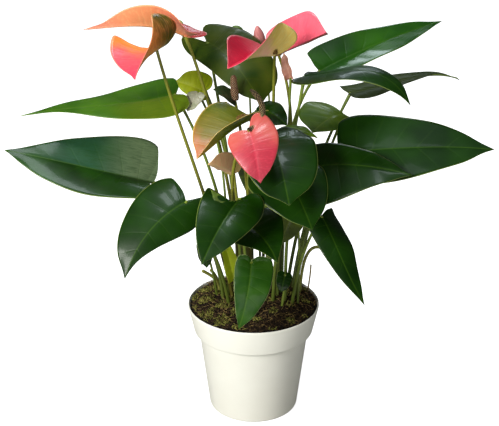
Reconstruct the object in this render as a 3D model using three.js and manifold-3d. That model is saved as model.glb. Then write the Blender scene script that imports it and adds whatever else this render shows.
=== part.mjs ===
// Potted pink anthurium: glossy heart-shaped leaves and salmon to crimson blooms on long stems,
// standing in peat in a plain white nursery pot.
// Millimetres, +Z up, +X to the viewer's right, +Y away from the viewer.
// The origin is the centre of the pot's underside.
import * as THREE from "three";
import { mergeVertices } from "three/addons/utils/BufferGeometryUtils.js";
import Module from "manifold-3d";

const wasm = await Module();
wasm.setup();

// Pot: a thin tapered shell with a deep rim band
const POT_RIM_RADIUS = 60;
const POT_HEIGHT = 104;
const POT_BASE_RADIUS = 41;
const POT_NECK_RADIUS = 50.5;
const BAND_HEIGHT = 26;
const BAND_FOOT_RADIUS = 55;
const WALL = 1.3;
const POT_SIDES = 36;
const FLOOR_THICKNESS = 3.2;
const FOOT_LIFT = 1.6;
const CENTRE_PAD_RADIUS = 9;
const DRAIN_HOLES = 6;
const DRAIN_HOLE_RADIUS = 4;
const DRAIN_CIRCLE_RADIUS = 24;

// Peat, heaped a little over the rim
const SOIL_EDGE = 101.5;
const SOIL_CROWN = 8;
const SOIL_LUMP = 1.8;
const SOIL_SIDES = 28;
const SOIL_RINGS = 7;
const CLEARANCE = 0.3;

// Plant tissue
const BLADE_THICKNESS = 0.8;
const MARGIN_THICKNESS = 0.64;
// Height at which the stems leave the root crown, inside the peat
const CROWN_LEVEL = 84;
const PETIOLE_RADIUS = 1.5;
const BLOOM_STALK_RADIUS = 1.6;
const STEM_SIDES = 5;
const STEM_STEPS = 6;
const SPADIX_RADIUS = 2.6;
const OLD_SPADIX_RADIUS = 3.4;
const SPADIX_SIDES = 8;
const SPADIX_ROWS = 8;
const FLORET_RELIEF = 0.16;
const SPADIX_ROOM_STEPS = 4;

const material = (color, roughness) => new THREE.MeshStandardMaterial({ color, roughness, metalness: 0 });
const LOOK = {
  pot: material(0xf2f1e6, 0.4),
  soil: material(0x2e2418, 0.95),
  leaf: material(0x1c4a12, 0.3),
  youngLeaf: material(0x8aa61e, 0.4),
  stem: material(0x6f8426, 0.45),
  spathe: material(0xe2566b, 0.35),
  paleSpathe: material(0xe9a069, 0.4),
  spadix: material(0x4f3a28, 0.7),
};

// Solids

// A manifold-3d solid of a closed BufferGeometry.
function solidOf(geometry) {
  const bare = geometry.clone();
  bare.deleteAttribute("normal");
  bare.deleteAttribute("uv");
  const merged = mergeVertices(bare, 1e-4);
  return new wasm.Manifold(
    new wasm.Mesh({
      numProp: 3,
      vertProperties: merged.attributes.position.array,
      triVerts: new Uint32Array(merged.index.array),
    }),
  );
}

// A closed BufferGeometry from points and triangles.
function closedGeometry(points, triangles) {
  return new THREE.BufferGeometry().setFromPoints(points).setIndex(triangles);
}

// The largest body of a cut solid, without the slivers that a cut leaves beside it
const mainBody = (solid) => solid.decompose().reduce((a, b) => (b.volume() > a.volume() ? b : a));

function meshOf(name, solid, look) {
  const { numProp, vertProperties, triVerts } = mainBody(solid).getMesh();
  const positions = new Float32Array((vertProperties.length / numProp) * 3);
  for (let i = 0; i < positions.length / 3; i++) {
    positions.set(vertProperties.subarray(i * numProp, i * numProp + 3), i * 3);
  }
  const geometry = new THREE.BufferGeometry();
  geometry.setAttribute("position", new THREE.BufferAttribute(positions, 3));
  geometry.setIndex(new THREE.BufferAttribute(new Uint32Array(triVerts), 1));
  geometry.computeVertexNormals();
  const mesh = new THREE.Mesh(geometry, look);
  mesh.name = name;
  return mesh;
}

const radians = THREE.MathUtils.degToRad;
const lerp = THREE.MathUtils.lerp;

// Stems

// A closed tube along a curve, with its radius at a share u of the way and at a side k.
// Only the first of its steps are made where made is less than steps.
function tube(curve, radiusAt, sides = STEM_SIDES, steps = STEM_STEPS, made = steps) {
  const points = [];
  let across = new THREE.Vector3(1, 0, 0);
  for (let i = 0; i <= made; i++) {
    const u = i / steps;
    const ahead = curve.getTangent(u);
    across = across.clone().addScaledVector(ahead, -across.dot(ahead)).normalize();
    const over = ahead.clone().cross(across);
    for (let k = 0; k < sides; k++) {
      const angle = (2 * Math.PI * k) / sides;
      const r = radiusAt(u, k);
      const point = curve.getPoint(u).addScaledVector(across, r * Math.cos(angle));
      points.push(point.addScaledVector(over, r * Math.sin(angle)));
    }
  }
  const triangles = [];
  for (let i = 0; i < made; i++) {
    for (let k = 0; k < sides; k++) {
      const a = i * sides + k;
      const b = i * sides + ((k + 1) % sides);
      triangles.push(a, b, b + sides, a, b + sides, a + sides);
    }
  }
  const last = made * sides;
  for (let k = 1; k < sides - 1; k++) {
    triangles.push(0, k + 1, k, last, last + k, last + k + 1);
  }
  return solidOf(closedGeometry(points, triangles));
}

// The way a stem takes: straight up out of the peat, then over to arrive at its blade.
function stemCurve({ base, root, arrives, bow = [0, 0, 0] }) {
  const foot = new THREE.Vector3(...root, CROWN_LEVEL);
  const end = new THREE.Vector3(...base);
  const span = end.distanceTo(foot);
  const push = new THREE.Vector3(...bow);
  const lean = end.clone().sub(foot).setZ(0).multiplyScalar(0.12).setZ(span * 0.4);
  const arrival = new THREE.Vector3(...arrives).normalize();
  return new THREE.CubicBezierCurve3(
    foot,
    foot.clone().add(lean).add(push),
    end.clone().addScaledVector(arrival, -0.3 * span).add(push),
    end,
  );
}

// A petiole is thickest at the soil and again at the knee just below its blade.
const petioleRadius = (scale) => (u) => scale * PETIOLE_RADIUS * (1.15 - 0.35 * u + (u > 0.9 ? 0.25 : 0));
const stalkRadius = (scale) => (u) => scale * BLOOM_STALK_RADIUS * (1.05 - 0.25 * u);

// Blades

// Half outline of a heart-shaped blade: share of its length from the petiole point, share of the half width.
// A station behind the petiole point is scaled by how far back the lobe reaches.
const HEART = [
  [0, 0], [-0.45, 0.1], [-0.92, 0.3], [-0.98, 0.56], [-0.55, 0.84], [0.1, 1],
  [0.34, 0.9], [0.58, 0.64], [0.79, 0.33], [0.92, 0.11], [1, 0],
];
// Half widths of the same stations on a blade that stays broad towards its tip
const BROAD = { 0.34: 0.98, 0.58: 0.86, 0.79: 0.6, 0.92: 0.2 };
// Outline points crowd less along the width, so that stations spread over lobe and tip alike.
const WIDTH_SHARE = 0.42;
// Shares of a half width at which a blade's grid has its columns, from the midrib out
const COARSE_SHARES = [0, 0.5, 1];
const FINE_SHARES = [0, 0.3, 0.65, 1];

// Both values of a setting that may be given once for both.
const pair = (value) => (Array.isArray(value) ? value : [value, value]);

// Points of a half outline, evenly spaced along it.
function halfOutline(steps, lobe, belly, full) {
  const stations = HEART.map(([x, y]) => {
    const width = x in BROAD ? lerp(y, BROAD[x], full) : y;
    const reach = x < 0 ? x * lobe : x + 0.5 * belly * Math.sin(Math.PI * x);
    return new THREE.Vector3(reach, width, 0);
  });
  const curve = new THREE.CatmullRomCurve3(stations, false, "catmullrom", 0.5);
  const fine = curve.getPoints(24 * (stations.length - 1));
  const reach = [0];
  for (let i = 1; i < fine.length; i++) {
    const dx = fine[i].x - fine[i - 1].x;
    const dy = (fine[i].y - fine[i - 1].y) * WIDTH_SHARE;
    reach.push(reach[i - 1] + Math.hypot(dx, dy));
  }
  const outline = [];
  for (let i = 0, at = 0; i <= steps; i++) {
    const want = (reach.at(-1) * i) / steps;
    while (at < fine.length - 2 && reach[at + 1] < want) at++;
    const share = (want - reach[at]) / (reach[at + 1] - reach[at]);
    outline.push(fine[at].clone().lerp(fine[at + 1], share));
  }
  return outline;
}

// The midrib of a blade, bowed by arch towards its upper face and by bend to its side.
// Both are shares of its chord.
function midribOf({ base, tip, faces, arch = 0.1, bend = 0 }) {
  const start = new THREE.Vector3(...base);
  const end = new THREE.Vector3(...tip);
  const chord = end.clone().sub(start);
  const span = chord.length();
  chord.normalize();
  const upper = new THREE.Vector3(...faces);
  upper.addScaledVector(chord, -upper.dot(chord)).normalize();
  const side = chord.clone().cross(upper);
  const handle = (share, k) =>
    start
      .clone()
      .lerp(end, share)
      .addScaledVector(upper, pair(arch)[k] * span)
      .addScaledVector(side, pair(bend)[k] * span);
  const curve = new THREE.CubicBezierCurve3(start, handle(1 / 3, 0), handle(2 / 3, 1), end);
  const length = curve.getLength();
  // Place, direction, upper normal and side at a share u of the length
  const frameAt = (u) => {
    const along = curve.getTangentAt(u);
    const normal = upper.clone().addScaledVector(along, -upper.dot(along)).normalize();
    return { point: curve.getPointAt(u), along, normal, side: along.clone().cross(normal) };
  };
  return { length, frameAt };
}

// Point of one half of a blade: x along the midrib, y outwards across it, both in millimetres.
function bladePoint(midrib, settings, half, x, y) {
  const { back = 20, fold = 0, curl = 0 } = settings;
  const lobe = pair(settings.lobe)[half];
  const u = THREE.MathUtils.clamp(x / midrib.length, 0, 1);
  const { point, along, normal, side } = midrib.frameAt(u);
  if (x < 0 && lobe > 0) {
    // The lobe behind the petiole point curves down by the angle back at its end.
    const radius = (lobe * midrib.length) / radians(back);
    const angle = -x / radius;
    point.addScaledVector(along, -radius * Math.sin(angle));
    point.addScaledVector(normal, radius * (1 - Math.cos(angle)));
    normal.applyAxisAngle(side, -angle);
  }
  const halfWidth = halfWidthOf(settings, half);
  const [foldBase, foldTip] = pair(pair(fold)[half]);
  const [curlBase, curlTip] = pair(pair(curl)[half]);
  const rise = radians(lerp(foldBase, foldTip, u));
  const turn = radians(lerp(curlBase, curlTip, u)) / halfWidth;
  let out = y * Math.cos(rise);
  let over = y * Math.sin(rise);
  if (Math.abs(turn) > 1e-6) {
    out = (Math.sin(rise + turn * y) - Math.sin(rise)) / turn;
    over = (Math.cos(rise) - Math.cos(rise + turn * y)) / turn;
  }
  return point.addScaledVector(side, half === 0 ? out : -out).addScaledVector(normal, over);
}

const halfWidthOf = ({ width, skew = 1 }, half) => (width / 2) * pair(skew)[half];

// A grid over the blade, from the margin of half 1 across the midrib to the margin of half 0.
function bladeGrid(settings, steps, shares) {
  const midrib = midribOf(settings);
  const { lobe, belly = 0, full = 0 } = settings;
  const outlines = [0, 1].map((half) => {
    return halfOutline(steps, pair(lobe)[half], pair(belly)[half], pair(full)[half]);
  });
  const columns = [...shares.slice(1).reverse().map((t) => [1, t]), ...shares.map((t) => [0, t])];
  const rows = [];
  for (let i = 0; i <= steps; i++) {
    const centre = midrib.length * (i / steps) ** 2;
    rows.push(
      columns.map(([half, t]) => {
        const edge = outlines[half][i];
        const x = lerp(centre, edge.x * midrib.length, t);
        return bladePoint(midrib, settings, half, x, edge.y * halfWidthOf(settings, half) * t);
      }),
    );
  }
  return rows;
}

// A closed blade of the grid, thinner at its margin. Its first and last rows are single points.
function bladeSolid(settings, shares) {
  const { width } = settings;
  const steps = width >= 44 ? 12 : width >= 20 ? 8 : 6;
  const rows = bladeGrid(settings, steps, shares);
  const columns = rows[0].length;
  const cells = [];
  for (let i = 0; i < steps; i++) {
    for (let j = 0; j < columns - 1; j++) {
      const [a, b] = [i * columns + j, i * columns + j + 1];
      const [c, d] = [b + columns, a + columns];
      if (i > 0) cells.push([a, b, c]);
      if (i < steps - 1) cells.push([a, c, d]);
    }
  }
  const only = (index) => {
    if (index < columns) return 0;
    return index >= steps * columns ? steps * columns : index;
  };
  const middle = rows.flat();
  const normals = middle.map(() => new THREE.Vector3());
  for (const cell of cells) {
    const [a, b, c] = cell.map((index) => middle[index]);
    const normal = b.clone().sub(a).cross(c.clone().sub(a));
    for (const index of cell) normals[only(index)].add(normal);
  }
  const count = middle.length;
  const points = [1, -1].flatMap((face) =>
    middle.map((point, index) => {
      const column = index % columns;
      const edge = column === 0 || column === columns - 1;
      const thickness = edge ? MARGIN_THICKNESS : BLADE_THICKNESS;
      const normal = normals[only(index)].clone().normalize();
      return middle[only(index)].clone().addScaledVector(normal, (face * thickness) / 2);
    }),
  );
  const triangles = [];
  for (const cell of cells) {
    const [a, b, c] = cell.map(only);
    triangles.push(a, b, c, c + count, b + count, a + count);
  }
  // The rim joins the two faces along both margins.
  const rim = (from, to) => {
    const [a, b] = [only(from), only(to)];
    triangles.push(a, b, b + count, a, b + count, a + count);
  };
  for (let i = 0; i < steps; i++) {
    rim(i * columns, (i + 1) * columns);
    rim((i + 2) * columns - 1, (i + 1) * columns - 1);
  }
  return solidOf(closedGeometry(points, triangles));
}

// Leaves: each one's blade with its petiole sunk into the blade's underside.
// base is where the petiole meets the blade, root where it leaves the peat, angles are in degrees.
// Settings given twice are for the half to the side of chord x faces and for the other half.
const LEAVES = {
  leaf_left_upper: {
    base: [-68, 10, 299], tip: [-194, -25, 291], faces: [0, -0.12, 1], width: 64, arch: [-0.05, 0.03],
    lobe: 0.06, skew: [1, 0.88], fold: [[5, 0], [-8, -5]], curl: [[0, 0], [-10, -10]], back: 25,
    full: [0, -0.7], belly: [-0.3, 0], root: [-14, 8], arrives: [-0.5, 0, 0.9],
  },
  leaf_left_middle: {
    base: [-86, -20, 229], tip: [-208, -35, 264], faces: [0, -0.48, 1], width: 80, arch: [0.02, 0.04],
    bend: -0.02, lobe: [0.03, -0.05], skew: [0.97, 0.95], fold: [[25, 8], [42, -15]],
    curl: [[-10, -5], [-25, -20]], back: 15, full: [0, -0.2], belly: [0, 0.25],
    root: [-26, -6], arrives: [-0.8, 0, 0.35], bow: [6, 0, -10],
  },
  leaf_left_lower: {
    base: [-56, -67, 231], tip: [-104, -107, 180], faces: [-0.3, -0.85, 0.6], width: 68, arch: [0.1, 0.12],
    bend: 0.1, lobe: [0.05, 0.22], skew: [0.95, 0.68], fold: [[5, 0], [-15, -20]],
    curl: [[-20, -10], [-35, -10]], back: 25, full: [0.4, -0.4],
    root: [-20, -10], arrives: [-0.35, -0.3, 0.9],
  },
  leaf_front_left: {
    base: [-12, -60, 230], tip: [-42, -108, 193], faces: [0.1, -0.9, 0.5], width: 62, arch: [0.14, 0.1],
    bend: 0.05, lobe: [-0.25, 0.2], skew: [0.87, 0.8], fold: [[5, 5], [35, 10]],
    curl: [[-30, -10], [-50, -10]], back: 40, full: 0.3, root: [-9, -14], arrives: [0.1, -0.9, 0.6],
  },
  leaf_front_centre: {
    base: [-9, -45, 202], tip: [19, -85, 184], faces: [0.1, -0.55, 0.9], width: 62, arch: [0.14, 0.1],
    bend: [-0.05, -0.08], lobe: [0.15, 0.02], skew: [0.85, 1], fold: [[10, 5], [10, 5]],
    curl: [[-20, 0], [-20, -10]], full: -0.2, root: [-2, -18], arrives: [0, -0.4, 0.9],
  },
  leaf_front_low: {
    base: [-2, -60, 173], tip: [-13, -82, 120], faces: [0.1, -0.95, 0.25], width: 40, arch: 0.12,
    bend: -0.03, lobe: 0.1, skew: [0.7, 1], fold: [[8, 0], [8, 0]], curl: [[-30, -10], [-25, -10]],
    back: 70, full: 0.3, root: [4, -26], arrives: [0, -0.5, 0.9],
  },
  leaf_centre_round: {
    base: [14, -40, 276], tip: [28, -95, 239], faces: [0.1, -0.75, 0.65], width: 68, arch: [0.22, 0.1],
    lobe: 0.22, skew: [0.88, 1], fold: [[8, 0], [8, 0]], curl: [[-25, -10], [-25, -10]], back: 15,
    full: 1, belly: 0.06,
    root: [10, -12], arrives: [0, -0.6, 0.75], bow: [2, 14, 0],
  },
  leaf_centre_behind: {
    base: [24, -26, 243], tip: [48, -76, 209], faces: [0.1, -0.6, 0.8], width: 68, arch: [0.14, 0.1],
    lobe: 0.2, fold: [[8, 0], [8, 0]], curl: [[-30, -10], [-30, -10]], back: 25, full: 0.5,
    root: [17, -8], arrives: [0, -0.2, 1],
  },
  leaf_right_near: {
    base: [41, -9, 238], tip: [132, -44, 245], faces: [0.1, -0.6, 0.85], width: 72, arch: 0.08,
    bend: [-0.04, -0.03], lobe: 0.08, skew: [1.1, 0.72], fold: [[-8, -5], [5, 0]],
    curl: [[-15, -10], [-15, -10]], root: [28, -8], arrives: [0.3, 0, 0.9],
  },
  leaf_right_large: {
    base: [75, 0, 250], tip: [205, -15, 257], faces: [0, -0.42, 0.9], width: 84, arch: [0.02, 0.06],
    lobe: 0.03, skew: 0.97, fold: [[6, 0], [10, 6]], curl: [[-15, -15], [-10, -5]], full: 0.4,
    belly: -0.02, root: [36, 4], arrives: [0.5, 0, 0.8],
  },
  leaf_right_drooping: {
    base: [59, -25, 200], tip: [95, -65, 134], faces: [0.35, -0.75, 0.55], width: 42, arch: [0.12, 0.1],
    bend: [0.05, 0.09], lobe: 0.04, skew: [0.75, 1], fold: [[-5, 0], [-15, 0]],
    curl: [[-30, -10], [-30, -10]], back: 50, root: [33, -12], arrives: [0.4, 0, 0.7],
  },
  leaf_upper_right: {
    base: [57, 19, 317], tip: [170, 84, 345], faces: [0.1, -0.05, 1], width: 54, arch: 0.03,
    lobe: [0.04, 0.02], skew: [1, 0.85], fold: [[14, -12], [40, 20]], curl: [[-5, 0], [-15, -5]],
    back: 10, full: 0.2, root: [24, 34], arrives: [0.5, -0.4, 0.75],
  },
  leaf_upper_right_arched: {
    base: [43, 5, 316], tip: [127, -47, 307], faces: [0.1, -0.1, 1], width: 46, arch: [0.1, 0.38],
    lobe: 0.03, skew: [1.05, 0.65], fold: [[8, -12], [8, 0]], curl: [[-20, -10], [-20, -5]],
    full: [0.5, 1.2], root: [22, 2], arrives: [0.1, 0, 1], bow: [-4, 3, 0],
  },
  leaf_back_right: {
    base: [89, 72, 281], tip: [195, 107, 283], faces: [0, -0.05, 1], width: 48, arch: [0, 0.16],
    lobe: 0.05, skew: [0.7, 0.9], fold: [[8, 0], [8, 0]], curl: [[-20, -10], [-20, -5]],
    full: [-1.5, 0.3], root: [30, 27], arrives: [0.5, 0.2, 1], bow: [0, 7, 0],
  },
  leaf_right_small: {
    base: [83, 64, 263], tip: [52, 25, 259], faces: [-0.2, -0.5, 0.9], width: 60, arch: [0.16, 0.1],
    lobe: 0.05, skew: [1.1, 0.55], fold: [[12, 0], [-10, 0]], curl: [[-20, -10], [-30, -10]],
    full: 1, belly: 0.15, root: [34, 17], arrives: [0.4, 0.1, 1],
  },
  leaf_centre_narrow: {
    base: [26, -4, 273], tip: [54, -20, 269], faces: [0.1, -0.3, 1], width: 16, arch: [0.16, 0.12],
    lobe: 0.15, fold: [[10, 0], [-10, 0]], curl: [[-10, 0], [-10, 0]], full: 0.3,
    root: [13, 4], arrives: [0.2, -0.2, 1],
  },
  leaf_top_large: {
    base: [-40, 45, 335], tip: [7, -5, 295], faces: [0.1, -0.5, 0.85], width: 78, arch: [0.2, 0.12],
    lobe: [0.34, 0.3], skew: [0.5, 0.92], fold: [[-15, -10], [8, 0]], curl: [[-30, -10], [-20, -10]],
    full: [1, 1.1], belly: [0.05, 0.3], root: [-8, 20], arrives: [-0.2, 0.1, 1], bow: [-2, 0, 0],
  },
  leaf_back_low: {
    base: [13, 57, 220], tip: [19, 108, 128], faces: [0, 0.8, 0.5], width: 58, arch: 0.12, lobe: 0.04,
    fold: 5, curl: -20, full: 0.4, root: [8, 38], arrives: [0, 0.3, 1],
  },
  leaf_back_right_low: {
    base: [76, 62, 221], tip: [148, 112, 192], faces: [0, 0.2, 1], width: 56, arch: 0.12, lobe: 0.08,
    fold: 5, curl: -20, full: 0.2, root: [38, 26], arrives: [0.4, 0.3, 0.8],
  },
  leaf_young_bright: {
    base: [-42, 24, 297], tip: [-67, 19, 308], faces: [-0.1, -0.95, 0.4], width: 30, arch: 0.1,
    lobe: 0.15, skew: [1, 0.6], fold: [[5, 0], [10, 0]], curl: [[-20, 0], [-20, 0]], full: 1, belly: 0.1,
    root: [-15, 16], arrives: [-0.4, 0, 1], bow: [3, 0, 0],
  },
  leaf_young_cupped: {
    base: [-48, 8, 301], tip: [-56, -9, 289], faces: [-0.3, -0.8, 0.4], width: 16, arch: 0.1,
    lobe: 0.03, fold: [[10, 0], [10, 0]], curl: [[-40, 0], [-40, 0]], full: 1, belly: 0.1,
    root: [-21, 4], arrives: [-0.5, 0, 0.8], bow: [-3, -8, 0],
  },
  leaf_centre_dark: {
    base: [2, -8, 290], tip: [28, -28, 283], faces: [0.3, -0.6, 0.8], width: 30, arch: [0.25, 0.15],
    lobe: 0.1, fold: [[0, 0], [10, 0]], curl: [[-20, 0], [-20, 0]], full: 0.8,
    root: [7, 12], arrives: [0, -0.1, 1],
  },
};

function leafSolid(settings) {
  const radius = petioleRadius(settings.width < 36 ? 0.75 : 1);
  const shares = settings.width >= 72 ? FINE_SHARES : COARSE_SHARES;
  return bladeSolid(settings, shares).add(tube(stemCurve(settings), radius));
}

// Blooms: a stalk, the spathe that it carries, and the spadix that stands on the spathe's inner face.
// spadix is the way that it takes from the top of the stalk, as steps in millimetres.
// The small bloom is still closed and hides its spadix.
const BLOOMS = {
  bloom_heart: {
    base: [-4, -75, 295], tip: [5, -100, 260], faces: [0.05, -0.9, 0.35], width: 43, arch: 0.1,
    bend: [-0.03, 0], lobe: [0.05, 0.28], skew: [0.9, 1], fold: [[5, 0], [5, 0]],
    curl: [[-30, -15], [-20, -10]], full: 0.4, root: [0, -6], arrives: [0.3, -0.5, 0.8], bow: [-9, 0, 0],
    spadix: [[12, 13, 1], [16, 12, 18], [1, 12, 30]],
  },
  bloom_hooded: {
    base: [-2, -30, 290], tip: [-46, -75, 271], faces: [-0.5, -0.15, 0.8], width: 72, arch: [0.08, 0],
    lobe: [0.03, 0], skew: [1, 0.85], fold: [[33, 38], [35, 55]], curl: [[-10, -5], [-45, -15]],
    full: [0.5, -0.3], belly: [0, 0.1], root: [-2, 0], arrives: [-0.1, -0.2, 1], bow: [-8, 7, 0],
    spadix: [[-4, 0, 2], [-8, -3, 3], [-12, -7, 2]],
  },
  bloom_small: {
    base: [-17, -20, 237], tip: [-38, -45, 255], faces: [0, -0.9, 0.4], width: 38, arch: 0.05, bend: 0.05,
    lobe: [0.15, 0.1], skew: [0.8, 0.5], fold: [[5, 5], [-80, -60]], curl: [[-10, 0], [-10, 0]],
    full: [1, 0], belly: [0.1, 0], root: [-7, -5], arrives: [-0.1, -0.1, 1],
  },
  bloom_right: {
    base: [17, -15, 340], tip: [-21, -55, 340], faces: [0, 0.05, 1], width: 60, arch: 0.05,
    bend: [0.15, 0.05], lobe: [-0.05, 0.4], skew: [0.92, 1], fold: [[0, 76], [85, 5]],
    curl: [[15, 0], [-20, 0]], full: [0.5, 0], belly: [0.15, -0.1],
    root: [15, 12], arrives: [0, -0.35, 0.95], bow: [0, 10, 0],
    spadix: [[0, 3, 6], [2, 5, 12], [3, 6, 18]],
  },
  bloom_right_back: {
    base: [21, 20, 331], tip: [60, 0, 355], faces: [0, -0.9, 0.3], width: 47, arch: 0, lobe: 0.1,
    skew: [0.45, 1], fold: [[-80, -80], [10, 0]], curl: [[-20, 0], [-20, 0]], full: 1.5, belly: 0.5,
    root: [18, 22], arrives: [-0.3, 0, 1], bow: [5, 7, 0],
    spadix: [[2, -3, 6], [4, -6, 11], [6, -8, 16]],
  },
  bloom_left: {
    base: [-80, -20, 348], tip: [-94, -60, 332], faces: [-0.3, 0.05, 0.95], width: 66, arch: 0.05,
    bend: [0, 0.1], lobe: [-0.04, 0.3], skew: [1.15, 1.4], fold: [[2, 15], [-20, 60]],
    curl: [[60, 20], [170, 20]], full: [-0.7, -0.9], belly: [0.2, -0.1],
    root: [-15, 0], arrives: [-0.35, 0, 1], bow: [-9, -2, 0],
    spadix: [[0, 4, 6], [1, 6, 11], [1, 7, 17]],
  },
  bloom_left_back: {
    base: [-57, 5, 351], tip: [-140, -10, 360], faces: [0, 0.6, 0.75], width: 72, arch: [0.15, 0.05],
    lobe: [0.25, 0.1], skew: [0.6, 1.1], fold: [[60, 20], [-10, 50]], curl: [[-20, 0], [-20, 0]],
    back: 40, full: [0.1, -0.7], root: [-9, 12], arrives: [-0.35, 0, 1],
    spadix: [[-4, 6, 4], [-9, 12, 7], [-15, 17, 9]],
  },
  bloom_old: {
    base: [-16, -8, 299], tip: [-34, -17, 311], faces: [0.2, -0.5, 0.85], width: 20, arch: 0.1,
    lobe: 0.05, skew: [1, 0.7], fold: 5, curl: [[-20, 0], [-20, 0]], full: 0.8,
    root: [-2, 10], arrives: [-0.2, 0, 1],
    spadix: [[0, 1, 7], [-1, 2, 14], [-1, 2, 21]],
  },
};

// The way that a spadix takes from the top of its stalk
function spadixCurve({ base, spadix }) {
  const start = new THREE.Vector3(...base);
  const handle = (step) => start.clone().add(new THREE.Vector3(...step));
  return new THREE.CubicBezierCurve3(start, ...spadix.map(handle));
}

const spadixRadius = ({ width }) => (width < 30 ? OLD_SPADIX_RADIUS : SPADIX_RADIUS);

// A spadix stands on a bare foot and carries its florets in staggered rows, each a raised knob.
function spadixSolid(settings) {
  const radiusAt = (u, k) => {
    const row = Math.round(u * SPADIX_ROWS);
    const taper = Math.sqrt(1 - 0.55 * u) * (row === SPADIX_ROWS ? 0.35 : 1);
    const foot = row < 2 ? 0.75 : 1;
    return spadixRadius(settings) * taper * foot * (1 + FLORET_RELIEF * ((row + k) % 2));
  };
  return tube(spadixCurve(settings), radiusAt, SPADIX_SIDES, SPADIX_ROWS);
}

// The room that a spadix takes where it stands on its spathe
function spadixRoom(settings) {
  const reach = spadixRadius(settings) * (1 + FLORET_RELIEF) + CLEARANCE;
  const radius = reach / Math.cos(Math.PI / SPADIX_SIDES);
  return tube(spadixCurve(settings), () => radius, SPADIX_SIDES, SPADIX_ROOM_STEPS);
}

// A stalk with its top end moved on by a clearance, so that what stands on it starts clear of it.
function grownStalk(settings, radius) {
  const arrival = new THREE.Vector3(...settings.arrives).normalize();
  const top = new THREE.Vector3(...settings.base).addScaledVector(arrival, CLEARANCE);
  return tube(stemCurve({ ...settings, base: top.toArray() }), (u) => radius(u) + CLEARANCE);
}

// Rolled young leaves and spathes: a spindle that a margin winds round once, on its own stem.
const BUDS = {
  bud_left: {
    base: [-62, 34, 349], tip: [-66, 32, 358], width: 9,
    root: [-5, 32], arrives: [-0.4, 0, 1], bow: [0, 9, 0],
  },
  bud_back_green: {
    base: [-9, 76, 336], tip: [-19, 77, 341], width: 8,
    root: [1, 24], arrives: [-0.2, 0, 1], bow: [-4, 0, 0],
  },
  bud_back_pink: {
    base: [8, 58, 325], tip: [3, 54, 347], width: 11,
    root: [13, 31], arrives: [-0.2, 0.1, 1],
  },
};

function budSolid(settings) {
  const start = new THREE.Vector3(...settings.base);
  const end = new THREE.Vector3(...settings.tip);
  const way = new THREE.LineCurve3(start, end);
  const sides = 8;
  const radiusAt = (u, k) => {
    const spindle = Math.sin(Math.PI * (0.12 + 0.82 * u)) ** 0.7;
    return (settings.width / 2) * spindle * (0.78 + (0.3 * k) / sides);
  };
  const rolled = tube(way, radiusAt, sides, 6);
  return rolled.add(tube(stemCurve(settings), petioleRadius(0.7)));
}

// Small blades low on the plant and on the stems: scale leaves, a withered bract and a bright sheath
const SMALL_BLADES = {
  leaf_hanging_dark: {
    base: [35, -27, 213], tip: [22, -36, 178], faces: [0.3, -0.9, 0.2], width: 31, arch: 0.08,
    lobe: 0.06, skew: [0.6, 1], fold: 0, curl: [[-10, 0], [-10, 0]], full: 0.8,
    root: [40, -10], arrives: [-0.2, -0.3, 0.9],
  },
  leaf_left_hidden: {
    base: [-43, -20, 172], tip: [-41, -27, 151], faces: [-0.1, -0.9, 0.3], width: 15, arch: 0.12, lobe: 0.15,
    fold: 5, curl: [[-20, 0], [-20, 0]], full: 0.8, root: [-32, 6], arrives: [-0.2, -0.3, 1],
  },
  leaf_soil: {
    base: [28, -17, 140], tip: [24, -25, 126], faces: [0.1, -0.9, 0.3], width: 14, arch: 0.12, lobe: 0.15,
    fold: 5, curl: [[-20, 0], [-20, 0]], full: 1, root: [24, -20], arrives: [0, 0.1, 1],
  },
  bract_withered: {
    base: [31, 0, 316], tip: [25, 0, 338], faces: [-0.3, -0.9, 0], width: 12, arch: 0.08, lobe: 0.05,
    fold: 20, curl: [[60, 30], [60, 30]], full: 0.6, root: [26, 14], arrives: [0, -0.3, 1], bow: [0, 6, 0],
  },
  sheath_bright: {
    base: [-18, -6, 130], tip: [-27, -9, 171], faces: [0.3, -0.9, 0.2], width: 17, arch: 0.06, lobe: 0.04,
    fold: 25, curl: [[20, 10], [20, 10]], full: 1, root: [-15, -9], arrives: [-0.2, 0, 1],
  },
};

// Cut petioles and a dry stick that stand in the peat: each a way through points from the peat up
const STUBS = {
  stub_left: [[-24, 8, 96], [-26, 6, 118], [-35, 2, 128], [-46, -4, 137]],
  stub_left_upper: [[-30, 12, 96], [-31, 11, 118], [-34, 9, 126], [-39, 6, 133]],
  petiole_cut_right: [[42, 12, 84], [43, 13, 140], [48, 14, 160], [66, 14, 150]],
  stick_dry: [[50, 17, 96], [50, 17, 106], [53, 19, 120], [53, 19, 132]],
};

const stubCurve = (way) => new THREE.CubicBezierCurve3(...way.map((point) => new THREE.Vector3(...point)));
const stubRadius = (name) => () => (name.startsWith("stick") ? 0.8 : PETIOLE_RADIUS);

// Soil and pot

// A whole number's own fixed value from 0 to 1
const scatter = (n) => {
  const wave = Math.sin(n * 12.9898) * 43758.5453;
  return wave - Math.floor(wave);
};

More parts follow.
